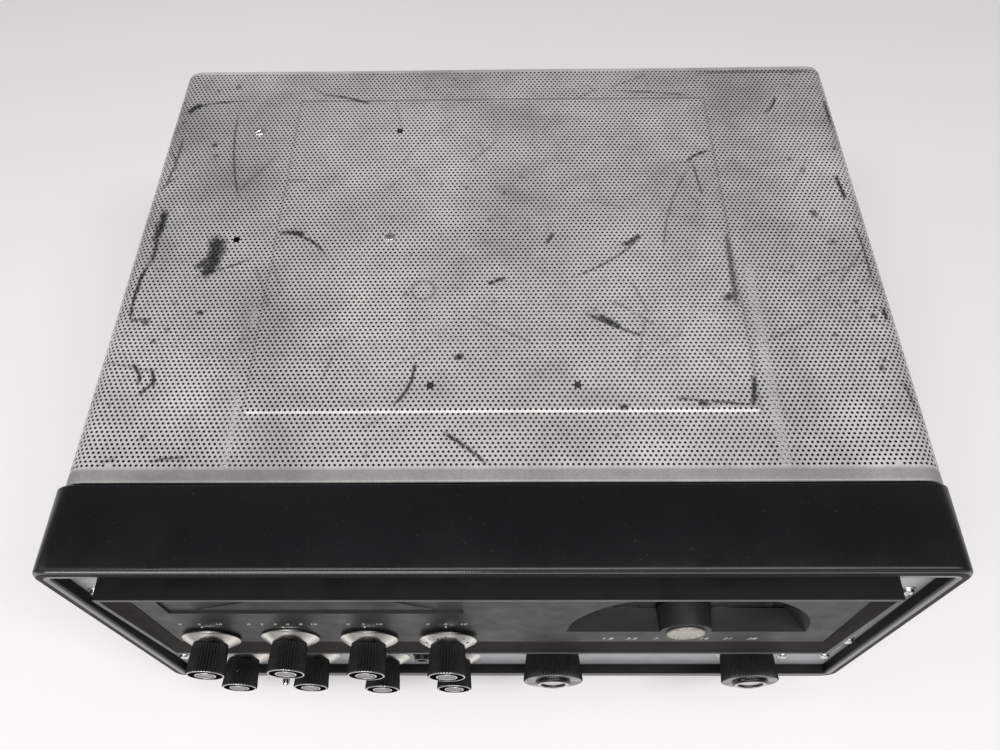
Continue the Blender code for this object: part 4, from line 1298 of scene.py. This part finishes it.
def escutcheon_casting():
    """The escutcheon with softened edges, a fine groove round its face, slopes in a warmer, duller copy of
    its paint as painted shade, and a darker copy on its top faces as painted shade.
    """
    made = detailed_copy("escutcheon", "casting")
    low, high = ESCUTCHEON
    left, right, bottom = ESC_SLOPE
    outer = (low.x + left, high.x - right, low.z + bottom, high.z - 3.5)
    cutter = groove_ring("face_groove", outer, 0.7, (ESC_FACE - 4.0, ESC_FACE + 0.6))
    cut_out(made, cutter)
    made.data.materials.append(M["slope"])
    made.data.materials.append(M["shaded_hood"])
    for polygon in made.data.polygons:
        x, y, z = polygon.center / MM
        sloping = x < outer[0] - 0.5 or x > outer[1] + 0.5 or z < outer[2] - 0.5
        # Upward faces along the top take a darker copy of the paint: painted shade.
        if polygon.normal.z > 0.6 and z > high.z - 6.0:
            polygon.material_index = 2
        # The slopes take a duller copy of the paint: painted shade.
        elif sloping and y - FRONT < ESC_FACE + 0.2:
            polygon.material_index = 1
    shade(made.data, 4.0)
    add_bevel(made, 0.45, 2, 12.0)


def escutcheon_border():
    """The narrow raised edge that runs round the escutcheon's leaning rim, in a lighter copy of the casting
    paint as painted light.
    """
    low, high = ESCUTCHEON
    lean = (ESC_RIM_TOP - ESC_RIM_LOW) / (high.z - low.z)
    loop = ((0.1, 0.5), (0.1, -0.2), (ESC_BORDER, -0.2), (ESC_BORDER + 0.3, 2.0))
    points = []
    for inset, proud in loop:
        x0, x1 = low.x + inset, high.x - inset
        z0, z1 = low.z + inset, high.z - inset
        for x, z in ((x0, z0), (x1, z0), (x1, z1), (x0, z1)):
            points.append((x, FRONT + ESC_RIM_LOW + lean * (z - low.z) + proud, z))
    # The raised edge is painted lighter than the casting: painted light.
    made = piece("escutcheon_border", points, ring_quads(len(loop), 4), M["lit_border"])
    add_bevel(made, 0.15, 2, 12.0)


def groove_ring(name, rectangle, width, depth):
    """A rectangular ring that cuts a groove of a width just inside a rectangle."""
    x0, x1, z0, z1 = rectangle
    points = []
    for level in depth:
        for inset in (0.0, width):
            for x, z in ((x0, z0), (x1, z0), (x1, z1), (x0, z1)):
                toward_x = inset if x == x0 else -inset
                toward_z = inset if z == z0 else -inset
                points.append((x + toward_x, FRONT + level, z + toward_z))
    faces = []
    for at in range(4):
        after = (at + 1) % 4
        faces.append((at, after, 4 + after, 4 + at))
        faces.append((8 + at, 12 + at, 12 + after, 8 + after))
        faces.append((at, 8 + at, 8 + after, after))
        faces.append((4 + at, 4 + after, 12 + after, 12 + at))
    return piece(name, points, faces, M["casting"])


def cut_out(made, cutter):
    """Take one piece's shape out of another, and remove it."""
    step = made.modifiers.new("cut", "BOOLEAN")
    step.operation = "DIFFERENCE"
    step.solver = "EXACT"
    step.object = cutter
    bpy.context.view_layer.update()
    seen = bpy.context.evaluated_depsgraph_get()
    result = bpy.data.meshes.new_from_object(made.evaluated_get(seen))
    made.modifiers.clear()
    made.data = result
    bpy.data.objects.remove(cutter)


# ---------------------------------------------------------------- panel furniture


def round_screw(name, x, z, depth, radius, turn):
    """A slotted round-head screw on the panel, facing forward."""
    head = [(0.0, depth - 2.6), (1.6, depth - 2.5), (3.0, depth - 1.9)]
    head += [(radius, depth - 0.4), (radius, depth)]
    made = turned(name, softened(head, 0.4), (x, z), M["screw"], ROOT, 40)
    slot_mark(made, name, (x, FRONT + depth - 2.35, z), (radius * 1.7, 0.9, 0.7), turn, "Y")


def slot_mark(made, name, at, size, turn, axis):
    """The screwdriver slot, cut into a screw head."""
    length, deep, wide = (side / 2 for side in size)
    points = []
    for level in (-2 * deep, 1.2 * deep):
        for a, b in ((-length, -wide), (length, -wide), (length, wide), (-length, wide)):
            ca = a * math.cos(turn) - b * math.sin(turn)
            cb = a * math.sin(turn) + b * math.cos(turn)
            if axis == "Y":
                points.append((at[0] + ca, at[1] + level, at[2] + cb))
            else:
                points.append((at[0] + ca, at[1] + cb, at[2] - level))
    faces = [(0, 1, 2, 3), (7, 6, 5, 4), (0, 1, 5, 4), (1, 2, 6, 5), (2, 3, 7, 6), (3, 0, 4, 7)]
    cut_out(made, piece(name + "_cutter", points, faces, M["screw"]))


PANEL_SCREWS = (
    (-236.2, 64.5),
    (-237.5, 216.0),
    (235.0, 65.8),
    (236.0, 216.5),
    (238.5, 107.6),
    (204.3, 65.8),
)
TOP_SCREWS = ((-180.4, 340.0), (-75.0, 234.5))


def panel_screws():
    """The bright screws on the panel beside and below the escutcheon."""
    front = PANEL_FRONT - 0.7
    back = PANEL_FRONT - 0.05
    washer = [(1.0, front), (4.6, front), (4.9, back), (1.0, back)]
    for number, (x, z) in enumerate(PANEL_SCREWS):
        turned(f"panel_washer_{number + 1}", washer, (x, z), M["plated"], ROOT, 40)
        round_screw(f"panel_screw_{number + 1}", x, z, front, 3.7, 0.4 + 1.7 * number)


def top_screws():
    """The two round-head screws left in the cabinet's top."""
    for number, (x, depth) in enumerate(TOP_SCREWS):
        base = SLEEVE_TOP + PLATEAU_RISE * (x > PLATEAU[0])
        head = [(0.0, base + 1.7), (1.8, base + 1.6), (3.3, base + 1.1)]
        head += [(4.1, base + 0.1), (4.1, base - 0.4)]
        name = f"top_screw_{number + 1}"
        made = turned(name, softened(head, 0.3), (x, FRONT + depth), M["screw"], ROOT, 36, axis="Z")
        slot_mark(made, name, (x, FRONT + depth, base + 1.4), (7.0, 0.8, 0.8), 0.6 + number, "Z")


def toggle_switch():
    """The bat-handle lever, its ring nut and the switch behind."""
    detailed_copy("toggle_body", "plated", 0.3)
    pivot = Vector(next(j for j in frame["joints"] if j["child"] == "lever")["pos_m"]) / MM
    profile = [
        (0.0, 4.6),
        (1.5, 4.2),
        (1.6, 0.0),
        (1.7, -3.0),
        (2.3, -7.0),
        (2.75, -11.0),
        (2.75, -12.6),
        (2.0, -13.7),
        (0.0, -13.9),
    ]
    points, faces = revolved(softened(profile, 0.8), 40)
    tilt = Matrix.Rotation(math.radians(10.0), 3, "X")
    reach = pivot.y - FRONT
    points = [tuple(tilt @ Vector((a, along - reach, b)) + pivot) for a, along, b in points]
    made = piece("toggle_bat", points, faces, M["chrome"], "lever", tuple(pivot))
    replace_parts(made, "toggle_lever")
    centre = (middle_of("toggle_lever")[0], middle_of("toggle_body")[1])
    hex_nut("toggle_nut", centre, 7.6, 6.1, (PANEL_FRONT - 2.3, PANEL_FRONT - 0.05), M["plated"])


def hex_nut(name, centre, radius, bore, span, material):
    """A hexagonal nut round a bushing."""
    loop = circle(radius, 6, math.radians(30)) + circle(bore, 24)
    points = [(centre[0] + a, FRONT + depth, centre[1] + b) for depth in span for a, b in loop]
    faces = []
    for step in range(24):
        after = (step + 1) % 24
        near = round((step - 2) / 4) % 6
        near_after = round((after - 2) / 4) % 6
        for base, flip in ((0, 1), (30, -1)):
            if near == near_after:
                face = (base + 6 + step, base + 6 + after, base + near)
            else:
                face = (base + 6 + step, base + 6 + after, base + near_after, base + near)
            faces.append(face[::flip])
        faces.append((6 + step, 6 + after, 36 + after, 36 + step))
    for step in range(6):
        after = (step + 1) % 6
        faces.append((step, after, 30 + after, 30 + step))
    add_bevel(piece(name, points, faces, material), 0.25)


def jack():
    """The panel jack: a blackened bushing with an open mouth, and its nut."""
    centre, _, front, back = round_node("phone_jack")
    profile = [
        (3.3, back),
        (3.3, front + 0.5),
        (3.8, front),
        (5.0, front),
        (5.5, front + 0.5),
        (5.5, PANEL_FRONT - 0.3),
        (5.2, PANEL_FRONT - 0.3),
        (5.2, PANEL_FRONT + 2.3),
        (6.5, PANEL_FRONT + 2.3),
        (6.5, back),
        (3.3, back),
    ]
    made = turned("jack_bushing", profile, centre, M["nut"], ROOT, 48)
    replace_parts(made, "phone_jack")
    hex_nut("jack_nut", centre, 7.4, 5.6, (PANEL_FRONT - 2.2, PANEL_FRONT - 0.05), M["nut"])


KNOB_SCALES = ((24.0, 3), (40.0, 6), (19.0, 3), (22.0, 3))  # width and numbers over each upper knob
BANDS = ("1.8", "3.5", "7", "10", "14", "21", "28")


def printed_marks():
    """Plain marks on the panel and escutcheon: index lines and short number scales."""
    depth = ESC_FACE - PRINT_LIFT
    marks = []
    figures = []
    for number, (spread, count) in enumerate(KNOB_SCALES, 1):
        x, z = middle_of(f"knob_{number}")
        marks.append((x, z + 21.0, 3.0, 1.0, math.pi / 2))
        for step in range(count):
            share = step / (count - 1)
            figures.append((str(round(10 * share)), x + spread * (share - 0.5), z + 27.5, 4.6, 0.0))
    flat_marks("escutcheon_marks", marks, depth, M["white"])
    for step, text in enumerate(BANDS):
        figures.append((text, DIAL_X - 48.0 + 15.5 * step, DIAL_Z - 16.5, 6.2, 0.0))
    numbers("escutcheon_numbers", figures, depth, M["white"], ROOT, 0.25)
    plans = [(f"knob_{number}", 7, -15, 35, 22.5, 2.4) for number in range(5, 9)]
    plans += [(name, 9, -10, 25, 27.0, 3.0) for name in ("knob_load", "knob_tune")]
    marks = []
    for node, count, first, pitch, reach, length in plans:
        for step in range(count):
            angle = math.radians(first + pitch * step)
            marks.append((*around(*middle_of(node), reach, angle), length, 0.7, angle))
    flat_marks("panel_marks", marks, PANEL_FRONT - PRINT_LIFT, M["white"])


def skirt_marks():
    """The printed scale on the fourth knob's skirt, lying on its cone."""
    (x, z), radius, front, back = round_node("skirt_4")
    slope = (back - front - 1.5) / (radius - 12.95)
    parts = 6
    points = []
    faces = []
    for step in range(15):
        angle = math.radians(90 + (step - 7) * 22.0)
        inner, outer, half = 15.4, 17.3, 0.035
        if step in (1, 13):
            inner, outer, half = 14.9, 17.2, 0.19
        elif step % 2 == 0:
            inner, outer, half = 13.3, 15.0, 0.05
        base = len(points)
        for part in range(parts + 1):
            turn = angle - half + 2 * half * part / parts
            for reach in (inner, outer):
                depth = front + 0.35 + (reach - 12.6) * slope - 0.06
                across, up = around(x, z, reach, turn)
                points.append((across, FRONT + depth, up))
        for part in range(parts):
            at = base + 2 * part
            faces.append((at, at + 1, at + 3, at + 2))
    return piece("skirt_4_marks", points, faces, M["black"], "small_knob_4")


# ---------------------------------------------------------------- the rest of the set


def carried_nodes():
    """CAD nodes whose shape is right, with finer edges and real materials."""
    plans = [
        ("front_panel", "panel", "panel_paint", 0.0),
        ("bottom_plate", "sleeve", "silver_paint", 0.3),
        ("rear_panel", "sleeve", "silver_paint", 0.3),
        ("chassis", "plated", "plated_steel", 0.3),
        ("vfo_box", "plated", "plated_steel", 0.8),
        ("power_transformer", "lacquer", "core_steel", 1.5),
        ("filter_choke", "lacquer", "core_steel", 1.2),
        ("filter_capacitor", "ring", "spun_aluminium", 0.8),
        ("output_tube_1", "glass", "tube_glass", 0.0),
        ("output_tube_2", "glass", "tube_glass", 0.0),
        ("driver_tube", "glass", "tube_glass", 0.0),
        ("capacitor_frame", "ring", "spun_aluminium", 0.0),
        ("coax_socket", "chrome", "chrome", 0.3),
        ("fuse_holder", "bakelite", "black_bakelite", 0.4),
        ("terminal_strip", "bakelite", "black_bakelite", 0.4),
    ]
    plans += [(f"control_{number}", "plated", "plated_steel", 0.3) for number in range(1, 9)]
    for node, material, slot_name, bevel in plans:
        detailed_copy(node, material, bevel)
    for number in range(1, 5):
        detailed_copy(f"foot_{number}", "rubber", 0.8, 3)
    recolour("capacitor_rotor", "ring")


# ---------------------------------------------------------------- stage

CAMERA_OFFSET = (7.7, -145.8, 429.0)  # from the middle of the surround's top front edge
LOOK_DOWN = math.radians(57.88)
CAMERA_YAW = math.radians(1.59)
CAMERA_ROLL = math.radians(-1.62)


def stage():
    """Pale floor, soft light and the camera above the front edge."""
    size = 6.0
    corners = [(-size, -size, 0), (size, -size, 0), (size, size, 0), (-size, size, 0)]
    data = bpy.data.meshes.new("floor")
    data.from_pydata(corners, [], [(0, 1, 2, 3)])
    data.materials.append(Graph("pale_floor", (0.90, 0.872, 0.858), 0.0, 0.5).material)
    placed("floor", data)

    world = bpy.data.worlds.new("studio")
    world.use_nodes = True
    sky = world.node_tree.nodes["Background"]
    sky.inputs["Color"].default_value = (1.0, 0.99, 0.985, 1.0)
    sky.inputs["Strength"].default_value = 0.22
    bpy.context.scene.world = world

    area("key", (0.15, -0.95, 2.3), (0.0, 0.05, 0.2), (3.2, 0.5), 61.0)
    area("left", (-2.2, -0.3, 1.5), (0.0, 0.05, 0.2), (1.2, 1.2), 8.0)
    area("front", (-0.9, -2.4, 0.85), (0.0, 0.0, 0.15), (1.6, 0.5), 8.0)
    bpy.context.scene.view_settings.view_transform = "Standard"

    lens = bpy.data.cameras.new("camera")
    lens.sensor_width = 36.0
    lens.lens = 30.05
    lens.clip_start = 0.01
    camera = placed("camera", lens)
    top_front = Vector((0.0, FRONT, SURROUND[1].z))
    camera.location = (top_front + Vector(CAMERA_OFFSET)) * MM
    turn = Matrix.Rotation(CAMERA_YAW, 3, "Z") @ Matrix.Rotation(math.pi / 2 - LOOK_DOWN, 3, "X")
    camera.rotation_euler = (turn @ Matrix.Rotation(CAMERA_ROLL, 3, "Z")).to_euler()
    bpy.context.scene.camera = camera


def area(name, place, target, size, power):
    """A rectangular soft light pointed at a target."""
    data = bpy.data.lights.new(name, "AREA")
    data.shape = "RECTANGLE"
    data.size, data.size_y = size
    data.energy = power
    made = placed(name, data)
    made.location = place
    made.rotation_euler = (Vector(target) - Vector(place)).to_track_quat("-Z", "Y").to_euler()


stage()
front_surround()
escutcheon_casting()
escutcheon_border()
cabinet_sleeve()
sleeve_hem()
carried_nodes()
for knob_number in range(1, 9):
    small_knob(knob_number)
large_knob("knob_load", "load_knob")
large_knob("knob_tune", "tune_knob")
tuning_flange()
dial()
badge()
meter()
toggle_switch()
jack()
panel_screws()
top_screws()
printed_marks()
skirt_marks()
